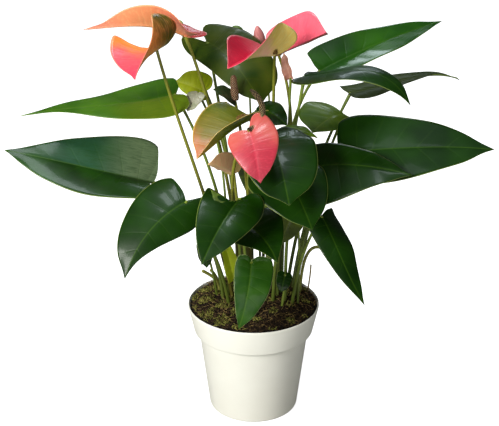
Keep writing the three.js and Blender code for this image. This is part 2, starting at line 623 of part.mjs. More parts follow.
// The peat follows the inside of the pot, and its heaped top is broken into lumps.
function soilSolid() {
  const points = [];
  const ringPoints = (radius, height) => {
    for (let k = 0; k < SOIL_SIDES; k++) {
      const angle = (2 * Math.PI * (k + 0.5)) / SOIL_SIDES;
      const z = typeof height === "number" ? height : height(k);
      points.push(new THREE.Vector3(radius * Math.cos(angle), radius * Math.sin(angle), z));
    }
  };
  const inside = (z) => innerRadius(z) - CLEARANCE;
  const floor = FLOOR_THICKNESS + CLEARANCE;
  const neck = POT_HEIGHT - BAND_HEIGHT;
  points.push(new THREE.Vector3(0, 0, floor));
  ringPoints(inside(floor), floor);
  ringPoints(inside(neck - 0.2), neck + 0.2);
  ringPoints(inside(neck + 2.2), neck + 2.2);
  const edge = inside(SOIL_EDGE);
  ringPoints(edge, SOIL_EDGE);
  for (let ring = SOIL_RINGS - 1; ring >= 1; ring--) {
    const share = ring / SOIL_RINGS;
    ringPoints(edge * share, (k) => {
      const lump = SOIL_LUMP * (2 * scatter(ring * 57 + k) - 1);
      return SOIL_EDGE + SOIL_CROWN * (1 - share ** 6) + lump * Math.min(1, 4 * share);
    });
  }
  points.push(new THREE.Vector3(0, 0, SOIL_EDGE + SOIL_CROWN));
  const rings = (points.length - 2) / SOIL_SIDES;
  const triangles = [];
  const at = (ring, k) => 1 + ring * SOIL_SIDES + (k % SOIL_SIDES);
  for (let k = 0; k < SOIL_SIDES; k++) {
    triangles.push(0, at(0, k + 1), at(0, k));
    for (let ring = 0; ring < rings - 1; ring++) {
      triangles.push(at(ring, k), at(ring, k + 1), at(ring + 1, k + 1));
      triangles.push(at(ring, k), at(ring + 1, k + 1), at(ring + 1, k));
    }
    triangles.push(at(rings - 1, k), at(rings - 1, k + 1), points.length - 1);
  }
  return solidOf(closedGeometry(points, triangles));
}

// Inner radius of the pot's wall at a height
function innerRadius(z) {
  const neck = POT_HEIGHT - BAND_HEIGHT;
  if (z < neck) return lerp(POT_BASE_RADIUS, POT_NECK_RADIUS, z / neck) - WALL;
  return lerp(BAND_FOOT_RADIUS, POT_RIM_RADIUS, (z - neck) / BAND_HEIGHT) - WALL;
}

function potSolid() {
  const neck = POT_HEIGHT - BAND_HEIGHT;
  const profile = [
    [0, 0], [CENTRE_PAD_RADIUS, 0], [CENTRE_PAD_RADIUS + 1, FOOT_LIFT],
    [POT_BASE_RADIUS - 7, FOOT_LIFT], [POT_BASE_RADIUS - 5, 0], [POT_BASE_RADIUS - 0.5, 0],
    [POT_BASE_RADIUS + 0.2, 1.5], [POT_NECK_RADIUS - 0.1, neck - 1], [POT_NECK_RADIUS + 0.6, neck],
    [BAND_FOOT_RADIUS - 0.5, neck + 0.5], [BAND_FOOT_RADIUS, neck + 1.5],
    [POT_RIM_RADIUS, POT_HEIGHT - 1.6], [POT_RIM_RADIUS - 0.5, POT_HEIGHT - 0.3],
    [POT_RIM_RADIUS - 1.1, POT_HEIGHT], [innerRadius(POT_HEIGHT - 1.2), POT_HEIGHT - 1.2],
    [innerRadius(neck + 1.8), neck + 1.8], [innerRadius(neck - 0.1), neck - 0.1],
    [innerRadius(FLOOR_THICKNESS), FLOOR_THICKNESS], [0, FLOOR_THICKNESS],
  ].map(([r, z]) => new THREE.Vector2(r, z));
  const shell = new THREE.LatheGeometry(profile, POT_SIDES);
  shell.rotateX(Math.PI / 2);
  let pot = solidOf(shell);
  for (let i = 0; i < DRAIN_HOLES; i++) {
    const hole = new THREE.CylinderGeometry(DRAIN_HOLE_RADIUS, DRAIN_HOLE_RADIUS, 20, 12);
    const angle = (2 * Math.PI * i) / DRAIN_HOLES;
    hole.rotateX(Math.PI / 2);
    hole.translate(DRAIN_CIRCLE_RADIUS * Math.cos(angle), DRAIN_CIRCLE_RADIUS * Math.sin(angle), 0);
    pot = pot.subtract(solidOf(hole));
  }
  return pot;
}

const plant = new THREE.Group();
const stems = [];

// The hole that a stem stands in: the stem's lowest steps, grown by the clearance, up to clear of the peat
function keepHole(curve, radius) {
  const above = SOIL_EDGE + SOIL_CROWN + 2 * SOIL_LUMP;
  let made = 1;
  while (curve.getPoint(made / STEM_STEPS).z < above) made++;
  curve.v0.z -= CLEARANCE;
  stems.push(tube(curve, (u) => radius(u) + CLEARANCE, STEM_SIDES, STEM_STEPS, made));
}

for (const [name, settings] of Object.entries({ ...LEAVES, ...SMALL_BLADES })) {
  let look = LOOK.leaf;
  if (name.includes("young") || name.includes("bright")) look = LOOK.youngLeaf;
  if (name.includes("withered")) look = LOOK.paleSpathe;
  plant.add(meshOf(name, leafSolid(settings), look));
  keepHole(stemCurve(settings), petioleRadius(settings.width < 36 ? 0.75 : 1));
}

for (const [name, settings] of Object.entries(BLOOMS)) {
  const radius = stalkRadius(1);
  const stalk = tube(stemCurve(settings), radius);
  const keepClear = grownStalk(settings, radius);
  const shares = settings.width >= 44 ? FINE_SHARES : COARSE_SHARES;
  let spathe = bladeSolid(settings, shares).subtract(keepClear);
  if (settings.spadix) {
    spathe = spathe.subtract(spadixRoom(settings));
    plant.add(meshOf(`${name}_spadix`, spadixSolid(settings).subtract(keepClear), LOOK.spadix));
  }
  plant.add(meshOf(`${name}_spathe`, spathe, name === "bloom_old" ? LOOK.leaf : LOOK.spathe));
  plant.add(meshOf(`${name}_stalk`, stalk, LOOK.stem));
  keepHole(stemCurve(settings), radius);
}

for (const [name, settings] of Object.entries(BUDS)) {
  plant.add(meshOf(name, budSolid(settings), name.includes("pink") ? LOOK.spathe : LOOK.youngLeaf));
  keepHole(stemCurve(settings), petioleRadius(0.7));
}

for (const [name, way] of Object.entries(STUBS)) {
  plant.add(meshOf(name, tube(stubCurve(way), stubRadius(name)), LOOK.stem));
  keepHole(stubCurve(way), stubRadius(name));
}

let soil = soilSolid();
for (const stem of stems) soil = soil.subtract(stem);
plant.add(meshOf("soil", soil, LOOK.soil));
plant.add(meshOf("pot", potSolid(), LOOK.pot));

export default plant;
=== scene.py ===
"""Potted pink anthurium: glossy heart-shaped leaves, salmon to crimson blooms, a white nursery pot.

Each solid of the plant is dressed with a finer piece in its own place: veined blades, spathes that
shade from green to crimson, spadices studded with florets, stems, lumpy peat with fibres and moss,
and a smooth pot. Lengths are millimetres unless a comment says otherwise, +X to the viewer's right,
+Y away from the viewer, +Z up.
"""
import math
from itertools import combinations

import bpy
import numpy as np
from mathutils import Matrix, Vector


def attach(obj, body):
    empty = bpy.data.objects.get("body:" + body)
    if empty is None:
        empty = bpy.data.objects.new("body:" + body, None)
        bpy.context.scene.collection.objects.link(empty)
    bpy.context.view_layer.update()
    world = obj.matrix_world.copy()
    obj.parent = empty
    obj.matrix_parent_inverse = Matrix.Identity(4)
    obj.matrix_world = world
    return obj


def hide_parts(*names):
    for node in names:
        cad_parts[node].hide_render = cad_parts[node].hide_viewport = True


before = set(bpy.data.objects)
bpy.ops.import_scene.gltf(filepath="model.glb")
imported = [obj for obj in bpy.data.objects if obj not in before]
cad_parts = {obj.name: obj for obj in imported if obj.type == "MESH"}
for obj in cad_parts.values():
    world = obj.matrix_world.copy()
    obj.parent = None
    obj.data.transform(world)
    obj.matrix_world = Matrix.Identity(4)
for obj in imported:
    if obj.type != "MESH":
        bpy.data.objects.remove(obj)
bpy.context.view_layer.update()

MM = 0.001

# The plant's sizes, as in the part's source
POT_RIM_RADIUS = 60
POT_HEIGHT = 104
POT_BASE_RADIUS = 41
POT_NECK_RADIUS = 50.5
BAND_HEIGHT = 26
BAND_FOOT_RADIUS = 55
NECK = POT_HEIGHT - BAND_HEIGHT
WALL = 1.3
FOOT_LIFT = 1.6
CENTRE_PAD_RADIUS = 9
FLOOR_THICKNESS = 3.2
DRAIN_HOLES = 6
DRAIN_HOLE_RADIUS = 4
DRAIN_CIRCLE_RADIUS = 24
SOIL_EDGE = 101.5
SOIL_CROWN = 8
SOIL_GAP = 0.3
CROWN_LEVEL = 84
PETIOLE_RADIUS = 1.5
BLOOM_STALK_RADIUS = 1.6
SPADIX_RADIUS = 2.6
OLD_SPADIX_RADIUS = 3.4
DRY_STICK_RADIUS = 0.8
SMALL_STEM_SCALE = 0.75
BUD_STEM_SCALE = 0.7
BLADE_THICKNESS = 0.5
MARGIN_THICKNESS = 0.3

# A stem's way, as shares of its span: how far it leans and rises first, and how long it arrives
STEM_LEAN = 0.12
STEM_RISE = 0.4
STEM_ARRIVAL = 0.3

# What the dressing adds to a blade: veins, keel and waves
VEINS = 8
SPATHE_VEINS = 9
VEIN_PHASE = 0.35
GROOVE_WIDTH = 1.6
KEEL_HEIGHT = 0.8
KEEL_WIDTH = 1.3
LEAF_RELIEF = dict(depth=0.35, ripple=0.5)
SPATHE_RELIEF = dict(depth=0.3, ripple=0.3)
BLADE_FACTS = ("along", "across", "rank", "margin")

# How finely each kind of piece is made
BLADE_ROWS = 44
BLADE_COLUMNS = 15
OUTLINE_STEPS = 24
MIDRIB_STEPS = 400
STEM_STEPS = 26
STEM_SIDES = 12
SPADIX_STEPS = 24
SPADIX_SIDES = 16
STUB_STEPS = 14
BUD_RINGS = 28
BUD_SIDES = 40
PEAT_RINGS = 60
PEAT_SIDES = 132
POT_SIDES = 128
DRILL_SIDES = 24

# Camera: where it stands and what it looks at
CAMERA_PLACE = (-3.66, -919.4, 585.4)
CAMERA_TARGET = (-3.66, 0, 192.07)
CAMERA_LENS = 81.36
CAMERA_SENSOR = 36
CAMERA_FAR_END = 50

# Half outline of a heart-shaped blade: share of its length from the stem, share of the half width
HEART = [
    [0, 0], [-0.45, 0.1], [-0.92, 0.3], [-0.98, 0.56], [-0.55, 0.84], [0.1, 1],
    [0.34, 0.9], [0.58, 0.64], [0.79, 0.33], [0.92, 0.11], [1, 0],
]
# Half widths of the same stations on a blade that stays broad towards its tip
BROAD = {0.34: 0.98, 0.58: 0.86, 0.79: 0.6, 0.92: 0.2}
WIDTH_SHARE = 0.42

# Blades and stems
# base is where the stem meets the blade, root where it leaves the peat, faces the way the upper face
# looks, arrives the way the stem comes in. Angles are in degrees. A setting given twice is for the half
# to the side of chord x faces and for the other half.


def both(*course):
    """A course from the stem to the tip that is the same on both halves."""
    return course, course


USUAL = dict(
    arch=0.1, bend=0, lobe=0.05, belly=0, full=0, skew=1,
    fold=both(8, 0), curl=both(-20, 0), back=20,
)


def blade(base, tip, faces, width, root, arrives, bow=(0, 0, 0), **more):
    """The settings of a blade and its stem: its own, and the usual ones where it has none."""
    own = dict(base=base, tip=tip, faces=faces, width=width, root=root, arrives=arrives, bow=bow)
    return {**USUAL, **own, **more}


def bud(base, tip, width, root, arrives, bow=(0, 0, 0)):
    return dict(base=base, tip=tip, width=width, root=root, arrives=arrives, bow=bow)


LEAVES = dict(
    leaf_left_upper=blade((-68, 10, 299), (-194, -25, 291), (0, -0.12, 1), 64, (-14, 8), (-0.5, 0, 0.9),
        arch=(-0.05, 0.03), lobe=0.06, skew=(1, 0.88), fold=((5, 0), (-8, -5)), curl=((0, 0), (-10, -10)),
        back=25, full=(0, -0.7), belly=(-0.3, 0)),
    leaf_left_middle=blade((-86, -20, 229), (-208, -35, 264), (0, -0.48, 1), 80, (-26, -6), (-0.8, 0, 0.35),
        arch=(0.02, 0.04), bend=-0.02, lobe=(0.03, -0.05), skew=(0.97, 0.95), fold=((25, 8), (42, -15)),
        curl=((-10, -5), (-25, -20)), back=15, full=(0, -0.2), belly=(0, 0.25), bow=(6, 0, -10)),
    leaf_left_lower=blade((-56, -67, 231), (-104, -107, 180), (-0.3, -0.85, 0.6), 68, (-20, -10),
        (-0.35, -0.3, 0.9), arch=(0.1, 0.12), bend=0.1, lobe=(0.05, 0.22), skew=(0.95, 0.68),
        fold=((5, 0), (-15, -20)), curl=((-20, -10), (-35, -10)), back=25, full=(0.4, -0.4)),
    leaf_front_left=blade((-12, -60, 230), (-42, -108, 193), (0.1, -0.9, 0.5), 62, (-9, -14),
        (0.1, -0.9, 0.6), arch=(0.14, 0.1), bend=0.05, lobe=(-0.25, 0.2), skew=(0.87, 0.8),
        fold=((5, 5), (35, 10)), curl=((-30, -10), (-50, -10)), back=40, full=0.3),
    leaf_front_centre=blade((-9, -45, 202), (19, -85, 184), (0.1, -0.55, 0.9), 62, (-2, -18), (0, -0.4, 0.9),
        arch=(0.14, 0.1), bend=(-0.05, -0.08), lobe=(0.15, 0.02), skew=(0.85, 1), fold=both(10, 5),
        curl=((-20, 0), (-20, -10)), full=-0.2),
    leaf_front_low=blade((-2, -60, 173), (-13, -82, 120), (0.1, -0.95, 0.25), 40, (4, -26), (0, -0.5, 0.9),
        arch=0.12, bend=-0.03, lobe=0.1, skew=(0.7, 1), curl=((-30, -10), (-25, -10)), back=70, full=0.3),
    leaf_centre_round=blade((14, -40, 276), (28, -95, 239), (0.1, -0.75, 0.65), 68, (10, -12),
        (0, -0.6, 0.75), arch=(0.22, 0.1), lobe=0.22, skew=(0.88, 1), curl=both(-25, -10), back=15, full=1,
        belly=0.06, bow=(2, 14, 0)),
    leaf_centre_behind=blade((24, -26, 243), (48, -76, 209), (0.1, -0.6, 0.8), 68, (17, -8), (0, -0.2, 1),
        arch=(0.14, 0.1), lobe=0.2, curl=both(-30, -10), back=25, full=0.5),
    leaf_right_near=blade((41, -9, 238), (132, -44, 245), (0.1, -0.6, 0.85), 72, (28, -8), (0.3, 0, 0.9),
        arch=0.08, bend=(-0.04, -0.03), lobe=0.08, skew=(1.1, 0.72), fold=((-8, -5), (5, 0)),
        curl=both(-15, -10)),
    leaf_right_large=blade((75, 0, 250), (205, -15, 257), (0, -0.42, 0.9), 84, (36, 4), (0.5, 0, 0.8),
        arch=(0.02, 0.06), lobe=0.03, skew=0.97, fold=((6, 0), (10, 6)), curl=((-15, -15), (-10, -5)),
        full=0.4, belly=-0.02),
    leaf_right_drooping=blade((59, -25, 200), (95, -65, 134), (0.35, -0.75, 0.55), 42, (33, -12),
        (0.4, 0, 0.7), arch=(0.12, 0.1), bend=(0.05, 0.09), lobe=0.04, skew=(0.75, 1),
        fold=((-5, 0), (-15, 0)), curl=both(-30, -10), back=50),
    leaf_upper_right=blade((57, 19, 317), (170, 84, 345), (0.1, -0.05, 1), 54, (24, 34), (0.5, -0.4, 0.75),
        arch=0.03, lobe=(0.04, 0.02), skew=(1, 0.85), fold=((14, -12), (40, 20)), curl=((-5, 0), (-15, -5)),
        back=10, full=0.2),
    leaf_upper_right_arched=blade((43, 5, 316), (127, -47, 307), (0.1, -0.1, 1), 46, (22, 2), (0.1, 0, 1),
        arch=(0.1, 0.38), lobe=0.03, skew=(1.05, 0.65), fold=((8, -12), (8, 0)), curl=((-20, -10), (-20, -5)),
        full=(0.5, 1.2), bow=(-4, 3, 0)),
    leaf_back_right=blade((89, 72, 281), (195, 107, 283), (0, -0.05, 1), 48, (30, 27), (0.5, 0.2, 1),
        arch=(0, 0.16), skew=(0.7, 0.9), curl=((-20, -10), (-20, -5)), full=(-1.5, 0.3), bow=(0, 7, 0)),
    leaf_right_small=blade((83, 64, 263), (52, 25, 259), (-0.2, -0.5, 0.9), 60, (34, 17), (0.4, 0.1, 1),
        arch=(0.16, 0.1), skew=(1.1, 0.55), fold=((12, 0), (-10, 0)), curl=((-20, -10), (-30, -10)), full=1,
        belly=0.15),
    leaf_centre_narrow=blade((26, -4, 273), (54, -20, 269), (0.1, -0.3, 1), 16, (13, 4), (0.2, -0.2, 1),
        arch=(0.16, 0.12), lobe=0.15, fold=((10, 0), (-10, 0)), curl=both(-10, 0), full=0.3),
    leaf_top_large=blade((-40, 45, 335), (7, -5, 295), (0.1, -0.5, 0.85), 78, (-8, 20), (-0.2, 0.1, 1),
        arch=(0.2, 0.12), lobe=(0.34, 0.3), skew=(0.5, 0.92), fold=((-15, -10), (8, 0)),
        curl=((-30, -10), (-20, -10)), full=(1, 1.1), belly=(0.05, 0.3), bow=(-2, 0, 0)),
    leaf_back_low=blade((13, 57, 220), (19, 108, 128), (0, 0.8, 0.5), 58, (8, 38), (0, 0.3, 1), arch=0.12,
        lobe=0.04, fold=5, curl=-20, full=0.4),
    leaf_back_right_low=blade((76, 62, 221), (148, 112, 192), (0, 0.2, 1), 56, (38, 26), (0.4, 0.3, 0.8),
        arch=0.12, lobe=0.08, fold=5, curl=-20, full=0.2),
    leaf_young_bright=blade((-42, 24, 297), (-67, 19, 308), (-0.1, -0.95, 0.4), 30, (-15, 16), (-0.4, 0, 1),
        lobe=0.15, skew=(1, 0.6), fold=((5, 0), (10, 0)), full=1, belly=0.1, bow=(3, 0, 0)),
    leaf_young_cupped=blade((-48, 8, 301), (-56, -9, 289), (-0.3, -0.8, 0.4), 16, (-21, 4), (-0.5, 0, 0.8),
        lobe=0.03, fold=both(10, 0), curl=both(-40, 0), full=1, belly=0.1, bow=(-3, -8, 0)),
    leaf_centre_dark=blade((2, -8, 290), (28, -28, 283), (0.3, -0.6, 0.8), 30, (7, 12), (0, -0.1, 1),
        arch=(0.25, 0.15), lobe=0.1, fold=((0, 0), (10, 0)), full=0.8),
    leaf_hanging_dark=blade((35, -27, 213), (22, -36, 178), (0.3, -0.9, 0.2), 31, (40, -10),
        (-0.2, -0.3, 0.9), arch=0.08, lobe=0.06, skew=(0.6, 1), fold=0, curl=both(-10, 0), full=0.8),
    leaf_left_hidden=blade((-43, -20, 172), (-41, -27, 151), (-0.1, -0.9, 0.3), 15, (-32, 6), (-0.2, -0.3, 1),
        arch=0.12, lobe=0.15, fold=5, full=0.8),
    leaf_soil=blade((28, -17, 140), (24, -25, 126), (0.1, -0.9, 0.3), 14, (24, -20), (0, 0.1, 1), arch=0.12,
        lobe=0.15, fold=5, full=1),
    bract_withered=blade((31, 0, 316), (25, 0, 338), (-0.3, -0.9, 0), 12, (26, 14), (0, -0.3, 1), arch=0.08,
        fold=20, curl=both(60, 30), full=0.6, bow=(0, 6, 0)),
    sheath_bright=blade((-18, -6, 130), (-27, -9, 171), (0.3, -0.9, 0.2), 17, (-15, -9), (-0.2, 0, 1),
        arch=0.06, lobe=0.04, fold=25, curl=both(20, 10), full=1),
)

BLOOMS = dict(
    bloom_heart=blade((-4, -75, 295), (5, -100, 260), (0.05, -0.9, 0.35), 43, (0, -6), (0.3, -0.5, 0.8),
        bend=(-0.03, 0), lobe=(0.05, 0.28), skew=(0.9, 1), fold=both(5, 0), curl=((-30, -15), (-20, -10)),
        full=0.4, bow=(-9, 0, 0), spadix=((12, 13, 1), (16, 12, 18), (1, 12, 30))),
    bloom_hooded=blade((-2, -30, 290), (-46, -75, 271), (-0.5, -0.15, 0.8), 72, (-2, 0), (-0.1, -0.2, 1),
        arch=(0.08, 0), lobe=(0.03, 0), skew=(1, 0.85), fold=((33, 38), (35, 55)),
        curl=((-10, -5), (-45, -15)), full=(0.5, -0.3), belly=(0, 0.1), bow=(-8, 7, 0),
        spadix=((-4, 0, 2), (-8, -3, 3), (-12, -7, 2))),
    bloom_small=blade((-17, -20, 237), (-38, -45, 255), (0, -0.9, 0.4), 38, (-7, -5), (-0.1, -0.1, 1),
        arch=0.05, bend=0.05, lobe=(0.15, 0.1), skew=(0.8, 0.5), fold=((5, 5), (-80, -60)), curl=both(-10, 0),
        full=(1, 0), belly=(0.1, 0)),
    bloom_right=blade((17, -15, 340), (-21, -55, 340), (0, 0.05, 1), 60, (15, 12), (0, -0.35, 0.95),
        arch=0.05, bend=(0.15, 0.05), lobe=(-0.05, 0.4), skew=(0.92, 1), fold=((0, 76), (85, 5)),
        curl=((15, 0), (-20, 0)), full=(0.5, 0), belly=(0.15, -0.1), bow=(0, 10, 0),
        spadix=((0, 3, 6), (2, 5, 12), (3, 6, 18))),
    bloom_right_back=blade((21, 20, 331), (60, 0, 355), (0, -0.9, 0.3), 47, (18, 22), (-0.3, 0, 1), arch=0,
        lobe=0.1, skew=(0.45, 1), fold=((-80, -80), (10, 0)), full=1.5, belly=0.5, bow=(5, 7, 0),
        spadix=((2, -3, 6), (4, -6, 11), (6, -8, 16))),
    bloom_left=blade((-80, -20, 348), (-94, -60, 332), (-0.3, 0.05, 0.95), 66, (-15, 0), (-0.35, 0, 1),
        arch=0.05, bend=(0, 0.1), lobe=(-0.04, 0.3), skew=(1.15, 1.4), fold=((2, 15), (-20, 60)),
        curl=((60, 20), (170, 20)), full=(-0.7, -0.9), belly=(0.2, -0.1), bow=(-9, -2, 0),
        spadix=((0, 4, 6), (1, 6, 11), (1, 7, 17))),
    bloom_left_back=blade((-57, 5, 351), (-140, -10, 360), (0, 0.6, 0.75), 72, (-9, 12), (-0.35, 0, 1),
        arch=(0.15, 0.05), lobe=(0.25, 0.1), skew=(0.6, 1.1), fold=((60, 20), (-10, 50)), back=40,
        full=(0.1, -0.7), spadix=((-4, 6, 4), (-9, 12, 7), (-15, 17, 9))),
    bloom_old=blade((-16, -8, 299), (-34, -17, 311), (0.2, -0.5, 0.85), 20, (-2, 10), (-0.2, 0, 1),
        skew=(1, 0.7), fold=5, full=0.8, spadix=((0, 1, 7), (-1, 2, 14), (-1, 2, 21))),
)

BUDS = dict(
    bud_left=bud((-62, 34, 349), (-66, 32, 358), 9, (-5, 32), (-0.4, 0, 1), bow=(0, 9, 0)),
    bud_back_green=bud((-9, 76, 336), (-19, 77, 341), 8, (1, 24), (-0.2, 0, 1), bow=(-4, 0, 0)),
    bud_back_pink=bud((8, 58, 325), (3, 54, 347), 11, (13, 31), (-0.2, 0.1, 1)),
)

STUBS = dict(
    stub_left=((-24, 8, 96), (-26, 6, 118), (-35, 2, 128), (-46, -4, 137)),
    stub_left_upper=((-30, 12, 96), (-31, 11, 118), (-34, 9, 126), (-39, 6, 133)),
    petiole_cut_right=((42, 12, 84), (43, 13, 140), (48, 14, 160), (66, 14, 150)),
    stick_dry=((50, 17, 96), (50, 17, 106), (53, 19, 120), (53, 19, 132)),
)


def pair(value):
    """Both values of a setting that may be given once for both."""
    return value if isinstance(value, (list, tuple)) else (value, value)


def unit(vector):
    vector = np.asarray(vector, float)
    return vector / np.linalg.norm(vector, axis=-1, keepdims=True)


def ramp(low, high, value):
    """Smooth step from 0 at low to 1 at high."""
    share = np.clip((value - low) / (high - low), 0, 1)
    return share * share * (3 - 2 * share)


def shares(steps):
    """Evenly spaced values from 0 to 1."""
    return np.linspace(0, 1, steps + 1)


def bezier(points, t):
    """Points of a cubic at the shares t, and its direction there."""
    p0, p1, p2, p3 = (np.asarray(p, float) for p in points)
    t = np.asarray(t, float)[:, None]
    place = (1 - t) ** 3 * p0 + 3 * (1 - t) ** 2 * t * p1 + 3 * (1 - t) * t * t * p2 + t**3 * p3
    way = (1 - t) ** 2 * (p1 - p0) + 2 * (1 - t) * t * (p2 - p1) + t * t * (p3 - p2)
    return place, unit(way + 1e-9)


def reach_of(points):
    """How far along a line each of its points lies."""
    steps = np.linalg.norm(np.diff(points, axis=0), axis=1)
    return np.concatenate([[0], np.cumsum(steps)])


def at_reach(want, reach, rows):
    """Rows of values read off at distances along their line."""
    return np.stack([np.interp(want, reach, column) for column in rows.T], axis=-1)


# Meshes and objects


def make_mesh(name, points, faces, *finishes, edges=()):
    """A mesh from points in millimetres."""
    mesh = bpy.data.meshes.new(name)
    places = (np.asarray(points, float) * MM).tolist()
    mesh.from_pydata(places, list(edges), [[int(v) for v in face] for face in faces])
    for finish in finishes:
        mesh.materials.append(finish)
    return mesh


def store(mesh, key, values):
    """Keeps a value for each point of a mesh."""
    kept = mesh.attributes.new(key, "FLOAT", "POINT")
    kept.data.foreach_set("value", np.asarray(values).astype(np.float32))


def smooth(mesh, caps=True):
    """Shades a mesh smooth, or only its four-sided faces."""
    flags = [caps or len(polygon.vertices) == 4 for polygon in mesh.polygons]
    mesh.polygons.foreach_set("use_smooth", flags)
    return mesh


def face_of(*corners):
    """A face without the corners that fall on the one before."""
    return [v for k, v in enumerate(corners) if v != corners[k - 1]]


def between(rings):
    """Faces from each ring of point numbers to the next."""
    faces = []
    for low, high in zip(rings, rings[1:]):
        for k, after in enumerate([*range(1, len(low)), 0]):
            faces.append(face_of(low[k], low[after], high[after], high[k]))
    return faces


def tube(rings):
    """Faces of a tube that is closed by its first ring and its last."""
    return [*between(rings), rings[0][::-1], rings[-1]]


def numbered(rings, sides, first=0):
    """Point numbers of rings that follow each other."""
    return (first + np.arange(rings * sides).reshape(rings, sides)).tolist()


def circle(radius, z, sides, x=0, y=0):
    angles = 2 * np.pi * np.arange(sides) / sides
    return [(x + radius * math.cos(a), y + radius * math.sin(a), z) for a in angles]


def in_scene(name, data):
    """An object in the scene."""
    made = bpy.data.objects.new(name, data)
    bpy.context.scene.collection.objects.link(made)
    return made


def plain_mesh(name, source):
    """The mesh that an object's modifier makes of it. The object is removed."""
    bpy.context.view_layer.update()
    evaluated = source.evaluated_get(bpy.context.evaluated_depsgraph_get())
    made = bpy.data.meshes.new_from_object(evaluated)
    made.name = name
    bpy.data.objects.remove(source)
    return made


def piece(name, mesh, *replaces, slot=None):
    """An object of a finished mesh that rides on the plant and stands for CAD nodes."""
    made = in_scene(name, mesh)
    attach(made, "root")
    if replaces:
        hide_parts(*replaces)


# Blade surfaces


def half_settings(setting, half):
    """The settings of one half of a blade."""
    own = {key: pair(setting[key])[half] for key in USUAL}
    return {**own, "half_width": setting["width"] / 2 * own["skew"], "side": -1 if half else 1}


def half_outline(own):
    """Points of a half outline, evenly spaced along it."""
    stations = []
    for x, y in HEART:
        if x in BROAD:
            y += (BROAD[x] - y) * own["full"]
        x = x * own["lobe"] if x < 0 else x + 0.5 * own["belly"] * math.sin(math.pi * x)
        stations.append((x, y))
    stations = np.array(stations)
    padded = np.vstack([2 * stations[0] - stations[1], stations, 2 * stations[-1] - stations[-2]])
    fine = []
    for i in range(1, len(padded) - 2):
        p0, p1, p2, p3 = padded[i - 1:i + 3]
        for t in np.arange(OUTLINE_STEPS) / OUTLINE_STEPS:
            bent = 2 * p1 + (p2 - p0) * t + (2 * p0 - 5 * p1 + 4 * p2 - p3) * t * t
            fine.append(0.5 * (bent + (3 * p1 - p0 - 3 * p2 + p3) * t**3))
    fine = np.array(fine + [stations[-1]])
    reach = reach_of(fine * [1, WIDTH_SHARE])
    return at_reach(np.linspace(0, reach[-1], BLADE_ROWS + 1), reach, fine)


class Midrib:
    """The midrib of a blade, bowed by arch towards its upper face and by bend to its side."""

    def __init__(self, setting):
        start, end, faces = (np.array(setting[key], float) for key in ("base", "tip", "faces"))
        chord = end - start
        span = np.linalg.norm(chord)
        chord /= span
        self.upper = unit(faces - (faces @ chord) * chord)
        aside = np.cross(chord, self.upper)
        arch, bend = pair(setting["arch"]), pair(setting["bend"])
        handles = [
            start + chord * span * (k + 1) / 3 + self.upper * arch[k] * span + aside * bend[k] * span
            for k in (0, 1)
        ]
        self.points, self.ways = bezier([start, *handles, end], shares(MIDRIB_STEPS))
        self.reach = reach_of(self.points)
        self.length = self.reach[-1]

    def frames(self, u):
        """Place, direction, upper normal and side at the shares u of the length."""
        want = np.clip(u, 0, 1) * self.length
        place = at_reach(want, self.reach, self.points)
        along = unit(at_reach(want, self.reach, self.ways))
        normal = unit(self.upper - (along @ self.upper)[..., None] * along)
        return place, along, normal, np.cross(along, normal)


def half_blade(midrib, own, x, y):
    """Points of one half of a blade: x along the midrib and y outwards across it."""
    u = np.clip(x / midrib.length, 0, 1)
    place, along, normal, side = midrib.frames(u)
    if own["lobe"] > 0:
        radius = own["lobe"] * midrib.length / math.radians(own["back"])
        angle = np.maximum(-x, 0)[..., None] / radius
        place = place - along * radius * np.sin(angle) + normal * radius * (1 - np.cos(angle))
        normal = normal * np.cos(angle) + along * np.sin(angle)
    fold, curl = pair(own["fold"]), pair(own["curl"])
    rise = np.radians(fold[0] + (fold[1] - fold[0]) * u)
    turn = np.radians(curl[0] + (curl[1] - curl[0]) * u) / own["half_width"]
    turn = np.where(np.abs(turn) < 1e-6, 1e-6, turn)
    out = (np.sin(rise + turn * y) - np.sin(rise)) / turn * own["side"]
    over = (np.cos(rise) - np.cos(rise + turn * y)) / turn
    return place + side * out[..., None] + normal * over[..., None]


def relief(across, along, rank, margin, width, depth, ripple):
    """Height of the veins and waves over a plain blade: grooves over the veins, pillows between."""
    inwards = np.clip(along, 0, 1)
    groove = -1.2 * depth * np.exp(-(across / GROOVE_WIDTH) ** 2) * (1 - 0.7 * inwards)
    beat = (rank * VEINS + VEIN_PHASE) % 1
    fade = np.clip(across / 4, 0, 1) * (1 - ramp(0.75, 0.98, margin)) * (1 - 0.6 * inwards)
    pillow = depth * (np.sin(np.pi * beat) ** 0.7 - 0.6) * fade
    wave = ripple * margin**3 * np.sin(2 * np.pi * (3.1 * rank + 0.013 * width))
    return groove + pillow + wave


